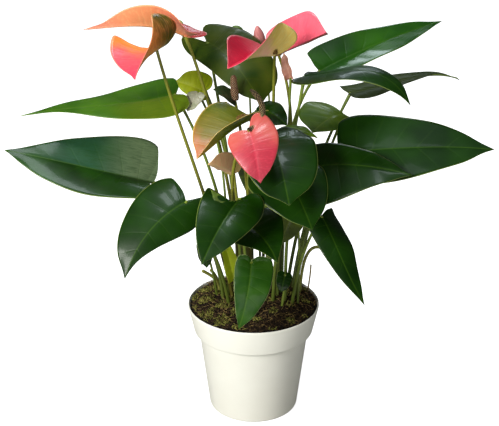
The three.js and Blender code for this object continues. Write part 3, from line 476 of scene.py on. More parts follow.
def blade_mesh(name, setting, top, under, raised=LEAF_RELIEF):
    """A closed blade with the finish top on its upper face and under below, and its facts stored."""
    midrib = Midrib(setting)
    out = shares(BLADE_COLUMNS) ** 1.15
    rank = shares(BLADE_ROWS)[:, None] * np.ones(BLADE_COLUMNS + 1)
    centre = midrib.length * rank**2
    halves = []
    for half in (1, 0):
        own = half_settings(setting, half)
        outline = half_outline(own) * [midrib.length, own["half_width"]]
        x, y = centre + (outline[:, :1] - centre) * out, outline[:, 1:] * out
        along, margin = x / midrib.length, out * np.ones_like(x)
        height = relief(y, along, rank, margin, setting["width"], **raised)
        sheet = half_blade(midrib, own, x, y)
        halves.append(np.dstack([sheet, along, y * own["side"], rank, margin, height]))
    # Rows run from one margin to the other, and the first and the last row are one point each
    grid = np.concatenate([halves[0][:, :0:-1], halves[1]], axis=1)
    wide = grid.shape[1]
    inner = (BLADE_ROWS - 1) * wide
    values = np.concatenate([grid[:1, 0], grid[1:-1].reshape(inner, -1), grid[-1:, 0]])
    count = len(values)
    number = np.zeros((BLADE_ROWS + 1, wide), int)
    number[1:-1] = 1 + np.arange(inner).reshape(-1, wide)
    number[-1] = count - 1
    a, b = number[:-1, :-1].ravel(), number[:-1, 1:].ravel()
    c, d = number[1:, 1:].ravel(), number[1:, :-1].ravel()
    points, facts, height = values[:, :3], values[:, 3:-1].T, values[:, -1:]
    normals = np.zeros_like(points)
    for p, q, r in ((a, b, c), (a, c, d)):
        face = np.cross(points[q] - points[p], points[r] - points[p])
        for index in (p, q, r):
            np.add.at(normals, index, face)
    normals = unit(normals + 1e-12)
    along, across, _, margin = facts
    thick = BLADE_THICKNESS + (MARGIN_THICKNESS - BLADE_THICKNESS) * margin
    keel = KEEL_HEIGHT * np.exp(-(across / KEEL_WIDTH) ** 2) * (1 - 0.8 * np.clip(along, 0, 1))
    middle = points + normals * height
    upper = middle + normals * thick[:, None] / 2
    lower = middle - normals * (thick / 2 + keel)[:, None]
    faces = []
    for corners in zip(a, b, c, d):
        face = face_of(*corners)
        faces += [face, [v + count for v in reversed(face)]]
    for here, after in zip(number, number[1:]):
        for start, end in ((here[0], after[0]), (after[-1], here[-1])):
            faces.append([start, end, end + count, start + count])
    mesh = make_mesh(name, np.concatenate([upper, lower]), faces, top, under)
    mesh.polygons.foreach_set("material_index", [0, 1] * len(a) + [0] * (2 * BLADE_ROWS))
    for key, fact in zip(BLADE_FACTS, facts):
        store(mesh, key, np.tile(fact, 2))
    return smooth(mesh)


# Node graphs


class Value:
    """A number that changes over a surface or a path. Arithmetic on it adds Math nodes."""

    def __init__(self, graph, socket):
        self.graph, self.socket = graph, socket

    def math(self, operation, *terms):
        return self.graph.node("ShaderNodeMath", dict(enumerate(terms)), {"operation": operation})

    def __rsub__(self, other):
        return self.math("SUBTRACT", other, self)

    def step(self, low, high):
        """Smooth step from 0 at low to 1 at high. low may be above high."""
        inputs = {"Value": self, "From Min": low, "From Max": high}
        return self.graph.node("ShaderNodeMapRange", inputs, {"interpolation_type": "SMOOTHSTEP"})


for method, kind in dict(
    __add__="ADD", __radd__="ADD", __sub__="SUBTRACT", __mul__="MULTIPLY", __truediv__="DIVIDE",
    __pow__="POWER", __mod__="FLOORED_MODULO", __abs__="ABSOLUTE", at_least="MAXIMUM",
).items():
    setattr(Value, method, lambda self, *other, kind=kind: self.math(kind, self, *other))


class Graph:
    """A node tree under construction."""

    def __init__(self, tree):
        self.tree = tree

    def node(self, kind, inputs=None, settings=None, output=0):
        """Adds a node, sets its settings and then its inputs, and returns one or more outputs."""
        made = self.tree.nodes.new(kind)
        for key, value in (settings or {}).items():
            setattr(made, key, value)
        for key, value in (inputs or {}).items():
            self.plug(made.inputs[key], value)
        if isinstance(output, tuple):
            return [Value(self, made.outputs[key]) for key in output]
        return Value(self, made.outputs[output])

    def plug(self, socket, value):
        if isinstance(value, Value):
            self.tree.links.new(value.socket, socket)
        else:
            socket.default_value = value


def srgb(red, green, blue):
    """A linear colour from the 0 to 255 values that a painter reads off a chart."""
    shares_of = [c / 255 for c in (red, green, blue)]
    linear = [s / 12.92 if s <= 10 / 255 else ((s + 0.055) / 1.055) ** 2.4 for s in shares_of]
    return (*linear, 1.0)


def tone(colour, factor, lift=0):
    """A colour made lighter or darker."""
    return tuple(min(255, c * factor + lift) for c in colour)


class Finish(Graph):
    """A material with one Principled shader. Painted colours are three values from 0 to 255."""

    def __init__(self, name, **fixed):
        self.material = bpy.data.materials.new(name)
        self.material.use_nodes = True
        super().__init__(self.material.node_tree)
        self.shader = self.tree.nodes["Principled BSDF"]
        for key, value in fixed.items():
            self.set(key.replace("_", " ").title().replace("Ior", "IOR"), value)

    def set(self, socket, value):
        self.plug(self.shader.inputs[socket], value)

    def mix(self, mask, *colours):
        first, second = (srgb(*c) if isinstance(c, tuple) else c for c in colours)
        inputs = {0: mask, 6: first, 7: second}
        return self.node("ShaderNodeMix", inputs, {"data_type": "RGBA"}, output=2)

    def stored(self, *keys):
        kind = "ShaderNodeAttribute"
        return [self.node(kind, settings={"attribute_name": key}, output=2) for key in keys]

    def noise(self, scale, detail=3, roughness=0.5, place=None, warp=0.0):
        place = place or self.node("ShaderNodeTexCoord", output="Object")
        inputs = {"Vector": place, "Scale": scale, "Detail": detail, "Roughness": roughness}
        return self.node("ShaderNodeTexNoise", {**inputs, "Distortion": warp})

    def grain(self, *strips):
        """A vector for noise on a blade, from values that follow it."""
        return self.node("ShaderNodeCombineXYZ", dict(enumerate(strips)))

    def veins(self, rank, margin, count, start, fade):
        """1 along the side veins, less towards the margin."""
        beat = abs((rank * count + VEIN_PHASE) % 1 - 0.5) * 2
        return beat.step(start, 1.0) * (1 - margin * fade)

    def done(self, ground, layers, roughness, height=None, strength=0.4, distance=0.0006):
        """Lays each (mask, colour) over the ground, gives roughness and relief, returns the material."""
        for mask, colour in layers:
            ground = self.mix(mask, ground, colour)
        self.set("Base Color", ground)
        self.set("Roughness", roughness)
        if height:
            inputs = {"Height": height, "Strength": strength, "Distance": distance}
            self.set("Normal", self.node("ShaderNodeBump", inputs))
        return self.material


# Finishes


def leaf_finish(name, deep, lit, vein, edge, rough=0.34, coat=0.25, shine=0.2, painted_sheen_and_tints=(), rib=0.22):
    """A waxy blade: darker between its veins, lighter along them, with a pale thin margin."""
    finish = Finish(name, specular_ior_level=shine, coat_roughness=0.12, coat_ior=1.35)
    along, across, rank, margin = finish.stored(*BLADE_FACTS)
    strip = finish.grain(along * 2.2, across * 0.02, 0)
    cloud = finish.noise(1.6, 2, 0.5, strip) * 0.4 + finish.noise(24, 2) * 0.6
    blotch, cells = finish.noise(160, 2), finish.noise(2600, 2, 0.6)
    lateral = finish.veins(rank, margin, VEINS, 0.86, 0.75) * (1 - along * 0.4)
    ridge = abs(across).step(0.9, 0.2)
    sheen_streaks = finish.noise(7, 4, 0.7, finish.grain(along * 1.5, across * 0.12, 0), 0.8).step(0.25, 0.6)
    layers = [(cloud.step(0.3, 0.7), lit)]
    # Tints laid over the colour in streaks: on leaf_left_middle they are painted sheen, a reflection put into
    # the colour
    for shade, start, end, half, share in painted_sheen_and_tints:
        place = along.step(start, end) * (across * half).step(-0.5, 1.5)
        layers.append((place * (sheen_streaks * 0.6 + 0.4) * share, shade))
    layers += [
        (blotch * 0.25, deep), (lateral * 0.07, vein), (ridge * rib, vein),
        (margin.step(0.976, 0.994) * 0.7, edge),
    ]
    finish.set("Coat Weight", coat - ridge * 0.15)
    roughness = rough + cloud * 0.1 + blotch * 0.06 - lateral * 0.05
    height = lateral * -0.6 + cells * 0.12 + blotch * 0.25
    return finish.done(deep, layers, roughness, height, 0.35)


def under_finish(name, ground, vein):
    """The underside of a blade: duller and lighter, with its veins standing out."""
    finish = Finish(name, specular_ior_level=0.4)
    _, across, rank, margin = finish.stored(*BLADE_FACTS)
    lateral = finish.veins(rank, margin, VEINS, 0.82, 0.7)
    rib = abs(across).step(1.8, 0.4)
    mottle = finish.noise(120)
    layers = [(mottle.step(0.3, 0.7), ground), (lateral.at_least(rib) * 0.6, vein)]
    height = lateral * 0.8 + rib + finish.noise(1800) * 0.15
    return finish.done(tone(ground, 0.7), layers, 0.5 + mottle * 0.15, height)


def spathe_finish(name, throat, middle, tip, lobe, edge):
    """A face of a spathe: its colour runs from throat to tip and another way over its lobes."""
    finish = Finish(name, specular_ior_level=0.5, coat_roughness=0.15)
    along, across, rank, margin = finish.stored(*BLADE_FACTS)
    cloud = finish.noise(3.2, 4, 0.6, finish.grain(along * 1.2, across * 0.03, rank * 2), 0.6)
    streak = finish.noise(9, 2, 0.5, finish.grain(rank * 6, margin * 0.5, 0))
    drift = along + (cloud - 0.5) * 0.35
    lateral = finish.veins(rank, margin, SPATHE_VEINS, 0.8, 0.6)
    rib = abs(across).step(1.4, 0.3)
    paler = tone(middle, 1.18, 12)
    layers = [
        (drift.step(0.05, 0.5), middle), (drift.step(0.5, 0.95), tip),
        ((drift * -1 + margin * 0.25).step(-0.22, 0.12), lobe), (streak.step(0.45, 0.8) * 0.4, paler),
        (lateral * 0.2 + rib * 0.25, paler), (margin.step(0.95, 0.99) * 0.7, edge),
    ]
    finish.set("Coat Weight", 0.2 + cloud * 0.1)
    height = lateral * -0.5 + cloud * 0.4 + finish.noise(2200) * 0.12
    return finish.done(throat, layers, 0.34 + cloud * 0.12, height)


def stem_finish(name, low, high, speck=(90, 70, 30)):
    """A stem: browner at the peat, lighter towards its blade, mottled and specked."""
    finish = Finish(name, specular_ior_level=0.45)
    climb, = finish.stored("climb")
    mottle, specks = finish.noise(240), finish.noise(900, 2, 0.6)
    layers = [
        (climb.step(0.05, 0.85) * 0.8 + mottle * 0.2, high), (specks.step(0.62, 0.72) * 0.5, speck),
    ]
    return finish.done(low, layers, 0.38 + mottle * 0.15, specks + mottle * 0.5, 0.25, 0.0004)


def spadix_finish(name, ground, dot):
    """Florets: dark, each with a pale stigma dot at its top."""
    finish = Finish(name, specular_ior_level=0.35)
    top, = finish.stored("floret_top")
    mottle = finish.noise(700, 2)
    layers = [(mottle.step(0.35, 0.7), tone(ground, 1.5)), (top.step(0.55, 0.95) * 0.85, dot)]
    return finish.done(ground, layers, 0.55 + mottle * 0.2, mottle, 0.3, 0.0003)


def peat_finish(name, dark, light, scale=420):
    """Peat and what lies on it: dark, dry-topped and crumbly."""
    finish = Finish(name, specular_ior_level=0.2)
    coarse, fine = finish.noise(scale, 5, 0.65), finish.noise(scale * 4, 3, 0.6)
    layers = [(coarse.step(0.35, 0.7), light), (fine.step(0.6, 0.75) * 0.4, tone(light, 1.4))]
    return finish.done(dark, layers, 0.85 + fine * 0.15, coarse + fine * 0.4, 0.8, 0.0015)


def pot_finish():
    """Plain moulded plastic: creamy white, faintly scuffed and cloudy."""
    finish = Finish("pot_white_plastic", specular_ior_level=0.45)
    cloud, scuff = finish.noise(14, 4, 0.6), finish.noise(320, 3, 0.7)
    layers = [
        (cloud.step(0.3, 0.7), (238, 237, 226)), (scuff.step(0.68, 0.8) * 0.25, (222, 219, 205)),
    ]
    height = finish.noise(1500, 2) * 0.5 + scuff * 0.5
    roughness = 0.36 + cloud * 0.1 + scuff * 0.08
    return finish.done((243, 243, 233), layers, roughness, height, 0.08, 0.0004)


def floor_finish():
    """White to the camera, greyer to the plant, so that the leaves keep their own deep green."""
    finish = Finish("floor_white", specular_ior_level=0.0)
    seen = finish.node("ShaderNodeLightPath")
    cloud = finish.noise(3)
    white = finish.mix(cloud, (252, 252, 252), (249, 249, 249))
    finish.set("Emission Color", finish.mix(seen, (0, 0, 0), (255, 255, 255)))
    finish.set("Emission Strength", 0.8)
    return finish.done((150, 150, 146), [(seen, white)], 0.9 + cloud * 0.1)


# Paths and what grows along them


def geometry_graph(name, **extra):
    """A Geometry Nodes tree with a geometry in and out, and the values of all its inputs."""
    tree = bpy.data.node_groups.new(name, "GeometryNodeTree")
    for label, kind in {"Geometry": "Geometry", **extra}.items():
        tree.interface.new_socket(label, in_out="INPUT", socket_type=f"NodeSocket{kind}")
    tree.interface.new_socket("Geometry", in_out="OUTPUT", socket_type="NodeSocketGeometry")
    graph = Graph(tree)
    entry = tree.nodes.new("NodeGroupInput")
    return graph, *(Value(graph, socket) for socket in entry.outputs if socket.name)


def close_graph(graph, shape, finish):
    """Ends a tree: its copies made real and its finish given."""
    real = graph.node("GeometryNodeRealizeInstances", {"Geometry": shape})
    painted = graph.node("GeometryNodeSetMaterial", {"Geometry": real, "Material": finish})
    graph.plug(graph.tree.nodes.new("NodeGroupOutput").inputs[0], painted)
    return graph.tree


def grown(name, mesh, tree, **inputs):
    """The plain mesh that a tree makes of a mesh."""
    seed = in_scene(name + "_seed", mesh)
    modifier = seed.modifiers.new("grow", "NODES")
    modifier.node_group = tree
    items = tree.interface.items_tree
    sockets = {item.name: item.identifier for item in items if item.in_out == "INPUT"}
    for key, value in inputs.items():
        modifier[sockets[key.title()]] = value
    return plain_mesh(name, seed)


def stem_tree():
    """A tube along a way, as thick as the girths that are stored on it."""
    graph, way, sides, finish = geometry_graph("stem_along_its_way", Sides="Int", Finish="Material")
    curve = graph.node("GeometryNodeMeshToCurve", {"Mesh": way})
    climb = graph.node("GeometryNodeSplineParameter")
    inputs = {"Geometry": curve, "Name": "climb", "Value": climb}
    curve = graph.node("GeometryNodeStoreNamedAttribute", inputs)
    ring = graph.node("GeometryNodeCurvePrimitiveCircle", {"Resolution": sides, "Radius": 1.0})
    girth = graph.node("GeometryNodeInputNamedAttribute", {"Name": "girth"})
    inputs = {"Curve": curve, "Profile Curve": ring, "Scale": girth, "Fill Caps": True}
    return close_graph(graph, graph.node("GeometryNodeCurveToMesh", inputs), finish)


GOLDEN_ANGLE = 137.508


def spadix_tree():
    """Florets on a golden-angle spiral round a way, each a small dome with its top marked."""
    graph, way, florets, radius, dome_radius, finish = geometry_graph(
        "spadix_florets", Florets="Int", Radius="Float", Dome="Float", Finish="Material",
    )
    number = graph.node("GeometryNodeInputIndex")
    share = (number + 0.5) / florets
    centre, ahead, side = graph.node(
        "GeometryNodeSampleCurve",
        {"Curves": graph.node("GeometryNodeMeshToCurve", {"Mesh": way}), "Factor": share},
        {"mode": "FACTOR"}, ("Position", "Tangent", "Normal"),
    )
    inputs = {"Vector": side, "Axis": ahead, "Angle": number * math.radians(GOLDEN_ANGLE)}
    spin = graph.node("ShaderNodeVectorRotate", inputs, {"rotation_type": "AXIS_ANGLE"})
    taper = (1 - share * 0.55) ** 0.5 * (1 - share.step(0.9, 1.02) * 0.55)
    taper = taper * (0.8 + share.step(0, 0.1) * 0.2)
    out = graph.node("ShaderNodeVectorMath", {0: spin, "Scale": taper * radius}, {"operation": "SCALE"})
    place = graph.node("ShaderNodeVectorMath", {0: centre, 1: out}, {"operation": "ADD"})
    dots = graph.node("GeometryNodePoints", {"Count": florets})
    dots = graph.node("GeometryNodeSetPosition", {"Geometry": dots, "Position": place})
    dome = graph.node("GeometryNodeMeshIcoSphere", {"Radius": 1.0, "Subdivisions": 2})
    position = graph.node("GeometryNodeInputPosition")
    height = graph.node("ShaderNodeSeparateXYZ", {0: position}, output=2)
    inputs = {"Geometry": dome, "Name": "floret_top", "Value": height}
    inputs = {
        "Points": dots, "Instance": graph.node("GeometryNodeStoreNamedAttribute", inputs),
        "Rotation": graph.node("FunctionNodeAlignRotationToVector", {"Vector": spin}, {"axis": "Z"}),
        "Scale": graph.node("ShaderNodeCombineXYZ", {k: taper * dome_radius for k in range(3)}),
    }
    return close_graph(graph, graph.node("GeometryNodeInstanceOnPoints", inputs), finish)


STEM_TREE = stem_tree()
SPADIX_TREE = spadix_tree()


def way_mesh(name, points, girths):
    """An open line of edges with a girth at each point, for a tree to grow along."""
    mesh = make_mesh(name, points, [], edges=[(i, i + 1) for i in range(len(points) - 1)])
    store(mesh, "girth", np.asarray(girths) * MM)
    return mesh


def stem_points(setting):
    """The way a stem takes: straight up out of the peat, then over to arrive at its blade."""
    foot = np.array([*setting["root"], CROWN_LEVEL], float)
    end = np.array(setting["base"], float)
    span = np.linalg.norm(end - foot)
    push = np.array(setting["bow"], float)
    lean = (end - foot) * STEM_LEAN
    lean[2] = span * STEM_RISE
    handles = [foot + lean + push, end - unit(setting["arrives"]) * STEM_ARRIVAL * span + push]
    return bezier([foot, *handles, end], shares(STEM_STEPS))[0]


def grow_stem(name, points, girths, finish, *replaces, slot="stem", sides=STEM_SIDES):
    way = way_mesh(name + "_way", points, girths)
    mesh = smooth(grown(name, way, STEM_TREE, sides=sides, finish=finish), caps=False)
    piece(name, mesh, *replaces, slot=slot)


def petiole_girths(scale):
    """Thickest at the peat and again at the knee just below the blade."""
    u = shares(STEM_STEPS)
    return scale * PETIOLE_RADIUS * (1.15 - 0.35 * u + 0.25 * ramp(0.88, 0.97, u))


STALK_GIRTHS = BLOOM_STALK_RADIUS * (1.05 - 0.25 * shares(STEM_STEPS))

# Leaves

# Upper faces: deep green, lit green, vein and margin
MATURE = ((8, 36, 0), (24, 60, 2), (80, 116, 26), (140, 156, 76))
UPPER_FACES = dict(
    leaf_young_bright=((130, 150, 10), (190, 205, 40), (214, 220, 110), (206, 212, 110)),
    leaf_right_small=((54, 86, 12), (96, 120, 24), (130, 146, 50), (160, 168, 80)),
    leaf_front_low=((14, 58, 2), (50, 92, 10), (96, 130, 40), (206, 218, 150)),
    leaf_left_upper=((34, 78, 6), (74, 118, 14), (110, 140, 40), (160, 176, 90)),
    leaf_left_middle=((8, 36, 0), (32, 76, 4), (80, 116, 26), (140, 156, 76)),
    leaf_young_cupped=((120, 132, 96), (190, 190, 168), (210, 205, 190), (190, 170, 140)),
    leaf_back_right=((46, 58, 26), (68, 80, 40), (96, 100, 60), (120, 126, 84)),
    leaf_upper_right=((12, 56, 8), (44, 94, 6), (80, 116, 26), (140, 156, 76)),
    leaf_centre_narrow=((84, 120, 16), (120, 156, 30), (160, 180, 70), (170, 110, 70)),
    leaf_top_large=((20, 46, 4), (70, 80, 8), (96, 112, 30), (140, 150, 70)),
    leaf_hanging_dark=((52, 66, 14), (92, 108, 22), (130, 140, 50), (150, 156, 70)),
    bract_withered=((176, 110, 90), (236, 186, 166), (240, 200, 170), (180, 120, 90)),
    sheath_bright=((170, 196, 20), (222, 234, 60), (236, 240, 120), (210, 220, 90)),
)
# Undersides: ground and vein
MATURE_UNDERSIDE = ((92, 118, 40), (130, 150, 66))
UNDERSIDES = dict(
    leaf_young_bright=((150, 166, 30), (196, 206, 80)),
    leaf_right_small=((120, 136, 34), (150, 160, 60)),
    leaf_left_upper=((112, 136, 26), (140, 156, 50)),
    leaf_young_cupped=((150, 140, 110), (190, 180, 150)),
    leaf_centre_narrow=((120, 140, 40), (160, 170, 70)),
    leaf_top_large=((112, 126, 20), (136, 146, 40)),
    bract_withered=((220, 160, 140), (230, 180, 150)),
    sheath_bright=((200, 214, 50), (224, 230, 100)),
)
# Each tint: its colour, the shares along the midrib where it starts and is full, its half, its strength
UPPER, LOWER = 1, -1
GLOSSES = dict(
    leaf_left_upper=dict(painted_sheen_and_tints=[((104, 126, 20), 0.5, 0.2, LOWER, 0.8)]),
    # leaf_left_middle: painted sheen, a bluish and a grey-green reflection laid into the colour of its upper
    # half
    leaf_left_middle=dict(
        painted_sheen_and_tints=[((50, 92, 76), 0.9, 0.5, UPPER, 0.5), ((116, 134, 96), 0.45, 0.1, UPPER, 0.75)],
    ),
    leaf_back_right=dict(rough=0.6, coat=0.05, shine=0.1),
    leaf_right_large=dict(rough=0.46, coat=0.05, shine=0.12),
    leaf_upper_right=dict(rough=0.3, coat=0.5),
    leaf_top_large=dict(rib=0.15),
)
PETIOLE_COLOURS = ((70, 84, 26), (120, 140, 48))
SMALL_WIDTH = 36


def dress_leaf(name, setting):
    top = leaf_finish(name + "_upper_face", *UPPER_FACES.get(name, MATURE), **GLOSSES.get(name, {}))
    under = under_finish(name + "_underside", *UNDERSIDES.get(name, MATURE_UNDERSIDE))
    young = "young" in name or "bright" in name
    slot = "bract" if "withered" in name else "young_leaf" if young else "leaf"
    piece(name + "_blade", blade_mesh(name + "_blade", setting, top, under), name, slot=slot)
    skin = stem_finish(name + "_petiole_skin", *PETIOLE_COLOURS)
    scale = SMALL_STEM_SCALE if setting["width"] < SMALL_WIDTH else 1
    grow_stem(name + "_petiole", stem_points(setting), petiole_girths(scale), skin)


for leaf_name, leaf_setting in LEAVES.items():
    dress_leaf(leaf_name, leaf_setting)


# Blooms

# Inner and outer face: throat, middle, tip, lobe and margin
SPATHES = dict(
    bloom_heart=(
        ((188, 70, 70), (174, 42, 60), (158, 36, 56), (192, 84, 72), (218, 114, 102)),
        ((176, 44, 48), (186, 50, 62), (196, 60, 70), (166, 44, 44), (220, 110, 100)),
    ),
    bloom_hooded=(
        ((96, 106, 10), (112, 104, 14), (190, 100, 40), (84, 98, 10), (226, 190, 110)),
        ((124, 134, 20), (132, 142, 26), (186, 130, 56), (118, 130, 18), (232, 216, 130)),
    ),
    # bloom_small: the middle and tip of both faces are painted light, paler than its own salmon to make up
    # for the shade it sits in below the blooms above
    bloom_small=(
        ((254, 186, 140), (255, 196, 144), (255, 196, 144), (252, 206, 130), (252, 230, 160)),
        ((232, 214, 100), (255, 196, 144), (255, 196, 144), (226, 218, 90), (250, 236, 160)),
    ),
    bloom_right=(
        ((204, 30, 60), (200, 20, 56), (214, 50, 78), (216, 70, 80), (244, 140, 140)),
        ((255, 186, 170), (252, 214, 140), (240, 214, 124), (250, 216, 112), (250, 230, 170)),
    ),
    bloom_right_back=2 * (
        ((226, 76, 98), (230, 78, 102), (234, 90, 110), (230, 90, 102), (238, 120, 130)),
    ),
    bloom_left=(
        ((236, 120, 70), (216, 76, 90), (214, 54, 82), (228, 140, 50), (244, 160, 130)),
        ((160, 104, 34), (232, 136, 66), (238, 120, 100), (70, 74, 6), (236, 170, 110)),
    ),
    bloom_left_back=(
        ((214, 60, 66), (206, 48, 62), (220, 80, 84), (206, 60, 60), (240, 150, 130)),
        ((240, 156, 100), (246, 168, 118), (240, 140, 118), (232, 120, 90), (246, 196, 150)),
    ),
    bloom_old=(
        ((14, 34, 12), (20, 46, 16), (30, 56, 20), (16, 36, 12), (60, 80, 40)),
        ((30, 44, 18), (36, 56, 22), (44, 62, 28), (30, 44, 18), (60, 80, 40)),
    ),
)
STALK_COLOURS = ((84, 78, 24), (132, 136, 40), (120, 60, 30))
# Florets and their dots
USUAL_SPADIX = ((96, 70, 34), (190, 160, 80))
SPADICES = dict(
    bloom_old=((66, 36, 20), (206, 180, 140)),
    bloom_heart=((34, 20, 12), (200, 176, 120)),
)
FLORETS_PER_AREA = 3.2
FLORET_DOME = 0.62


def dress_spadix(name, setting):
    start = np.array(setting["base"], float)
    way = [start, *(start + np.array(step) for step in setting["spadix"])]
    u = shares(SPADIX_STEPS)
    points = bezier(way, u)[0]
    radius = OLD_SPADIX_RADIUS if name == "bloom_old" else SPADIX_RADIUS
    finish = spadix_finish(name + "_florets_skin", *SPADICES.get(name, USUAL_SPADIX))
    core = radius * 0.92 * np.sqrt(1 - 0.55 * u) * (1 - 0.6 * ramp(0.9, 1.02, u))
    grow_stem(name + "_spadix_core", points, core, finish, slot="spadix", sides=SPADIX_SIDES)
    mesh = grown(
        name + "_spadix_florets", way_mesh(name + "_spadix_way", points, u + 1), SPADIX_TREE,
        florets=int(reach_of(points)[-1] * radius * FLORETS_PER_AREA),
        radius=radius * 0.94 * MM, dome=FLORET_DOME * MM, finish=finish,
    )
    piece(name + "_spadix_florets", smooth(mesh), name + "_spadix", slot="spadix")


def dress_bloom(name, setting):
    inner, outer = SPATHES[name]
    top = spathe_finish(name + "_inner_face", *inner)
    under = spathe_finish(name + "_outer_face", *outer)
    mesh = blade_mesh(name + "_spathe_sheet", setting, top, under, SPATHE_RELIEF)
    slot = "old_spathe" if name == "bloom_old" else "spathe"
    piece(name + "_spathe_sheet", mesh, name + "_spathe", slot=slot)
    skin = stem_finish(name + "_stalk_skin", *STALK_COLOURS)
    grow_stem(name + "_stalk_rod", stem_points(setting), STALK_GIRTHS, skin, name + "_stalk")
    if "spadix" in setting:
        dress_spadix(name, setting)


for bloom_name, bloom_setting in BLOOMS.items():
    dress_bloom(bloom_name, bloom_setting)


# Buds: rolled young leaves and spathes. Stubs: what is left of cut stems, and a dry stick

BUD_COLOURS = dict(
    bud_left=((150, 176, 70), (196, 208, 120)),
    bud_back_green=((52, 84, 26), (96, 124, 44)),
    bud_back_pink=((150, 120, 96), (216, 130, 130)),
)
BUD_STEM_COLOURS = ((84, 92, 30), (130, 146, 60))
DRY_COLOURS = ((120, 96, 60), (190, 170, 120))
STUB_COLOURS = ((92, 104, 40), (150, 150, 70))


def bud_mesh(name, setting, finish):
    """A spindle that a margin winds round once: its radius grows and steps back at the overlap."""
    start, end = np.array(setting["base"], float), np.array(setting["tip"], float)
    ahead = unit(end - start)
    across = unit(np.cross([0, 1, 0.2], ahead))
    over = np.cross(ahead, across)
    u = shares(BUD_RINGS)[:, None]
    k = np.arange(BUD_SIDES)[None, :] / BUD_SIDES
    roll = (k + 0.35 * u) % 1
    spindle = np.sin(np.pi * (0.1 + 0.86 * u)) ** 0.75
    radius = setting["width"] / 2 * spindle * (0.78 + 0.3 * roll - 0.26 * ramp(0.94, 1.0, roll))
    angle = (2 * np.pi * k * np.ones_like(u))[..., None]
    centre = start + (end - start) * u[..., None]
    points = centre + radius[..., None] * (np.cos(angle) * across + np.sin(angle) * over)
    faces = tube(numbered(BUD_RINGS + 1, BUD_SIDES))
    mesh = make_mesh(name, points.reshape(-1, 3), faces, finish)
    store(mesh, "climb", np.repeat(u.ravel(), BUD_SIDES))
    return smooth(mesh, caps=False)


for bud_name, bud_setting in BUDS.items():
    low, high = BUD_COLOURS[bud_name]
    bud_skin = stem_finish(bud_name + "_skin", low, high, tone(low, 0.8))
    bud_slot = "bract" if "pink" in bud_name else "young_leaf"
    rolled = bud_mesh(bud_name + "_rolled", bud_setting, bud_skin)
    piece(bud_name + "_rolled", rolled, bud_name, slot=bud_slot)
    stem_skin = stem_finish(bud_name + "_stem_skin", *BUD_STEM_COLOURS)
    girths = petiole_girths(BUD_STEM_SCALE)
    grow_stem(bud_name + "_stem", stem_points(bud_setting), girths, stem_skin, slot=bud_slot)

for stub_name, stub_way in STUBS.items():
    dry = stub_name.startswith("stick")
    stub_skin = stem_finish(stub_name + "_skin", *(DRY_COLOURS if dry else STUB_COLOURS))
    grow_stem(
        stub_name + "_rod", bezier(stub_way, shares(STUB_STEPS))[0],
        [DRY_STICK_RADIUS if dry else PETIOLE_RADIUS] * (STUB_STEPS + 1), stub_skin,
        stub_name, slot="dry_stem" if dry else "stem",
    )


# Peat


def inner_radius(z):
    """Radius of the pot's inside at a level."""
    if z < NECK:
        return POT_BASE_RADIUS + (POT_NECK_RADIUS - POT_BASE_RADIUS) * z / NECK - WALL
    return BAND_FOOT_RADIUS + (POT_RIM_RADIUS - BAND_FOOT_RADIUS) * (z - NECK) / BAND_HEIGHT - WALL


SOIL_RADIUS = inner_radius(SOIL_EDGE) - SOIL_GAP
# Waves of the heap: how close they are, their height and the way they run
LUMPS = ((0.16, 1.1, 0.4), (0.33, 0.8, 1.9), (0.71, 0.5, 3.1), (1.37, 0.28, 4.2))


def peat_height(x, y):
    """Level of the lumpy heap at a place."""
    share = np.clip(np.hypot(x, y) / SOIL_RADIUS, 0, 1)
    lumps = 0
    for scale, height, turn in LUMPS:
        a, b = math.cos(turn), math.sin(turn)
        u, v = (x * a - y * b) * scale, (x * b + y * a) * scale
        wave = height * np.sin(u + 1.7 * np.sin(0.8 * v))
        lumps = lumps + wave * np.sin(v + 1.3 * np.sin(0.7 * u + turn))
    lumps = lumps * (1 - share**12) * np.clip(4 * share, 0.4, 1)
    return SOIL_EDGE + SOIL_CROWN * (1 - share**6) + lumps


def peat_mesh(name, finish):
    """The heap on its plug of peat: a fine lumpy top over the inside of the pot."""
    angles = 2 * np.pi * np.arange(PEAT_SIDES) / PEAT_SIDES
    points = [(0, 0, peat_height(0.0, 0.0))]
    for ring in range(1, PEAT_RINGS + 1):
        radius = SOIL_RADIUS * ring / PEAT_RINGS
        x, y = radius * np.cos(angles), radius * np.sin(angles)
        points += list(zip(x, y, peat_height(x, y)))
    for inside, z in (
        (NECK + 2.2, NECK + 2.2), (NECK - 0.2, NECK + 0.2), (FLOOR_THICKNESS, FLOOR_THICKNESS + 0.3),
    ):
        points += circle(inner_radius(inside) - SOIL_GAP, z, PEAT_SIDES)
    total = PEAT_RINGS + 3
    rings = numbered(total, PEAT_SIDES, 1)
    faces = []
    for k, after in enumerate([*range(1, PEAT_SIDES), 0]):
        faces.append([0, rings[0][k], rings[0][after]])
        for inner, outer in zip(rings, rings[1:]):
            faces.append([inner[k], outer[k], outer[after], inner[after]])
    return smooth(make_mesh(name, points, [*faces, rings[-1][::-1]], finish))


# Loose things keep off the pot's wall and lie up to this many radians from level
LOOSE_MARGIN = 1.5
TILT = 0.5


def patch_mesh(name, back=POT_RIM_RADIUS, step=2.0, lift=0.0, keep=lambda x, y: True):
    """A loose sheet over part of the heap, for a tree to scatter on."""
    edge = inner_radius(SOIL_EDGE) - LOOSE_MARGIN
    points, faces, index = [], [], {}
    for x in np.arange(-POT_RIM_RADIUS, POT_RIM_RADIUS, step):
        for y in np.arange(-POT_RIM_RADIUS, back, step):
            corners = [(x, y), (x + step, y), (x + step, y + step), (x, y + step)]
            if max(math.hypot(*c) for c in corners) > edge or not keep(x, y):
                continue
            face = []
            for c in corners:
                number = index.setdefault((round(c[0], 2), round(c[1], 2)), len(points))
                if number == len(points):
                    points.append((*c, peat_height(*c) + lift))
                face.append(number)
            faces.append(face)
    return make_mesh(name, points, faces)


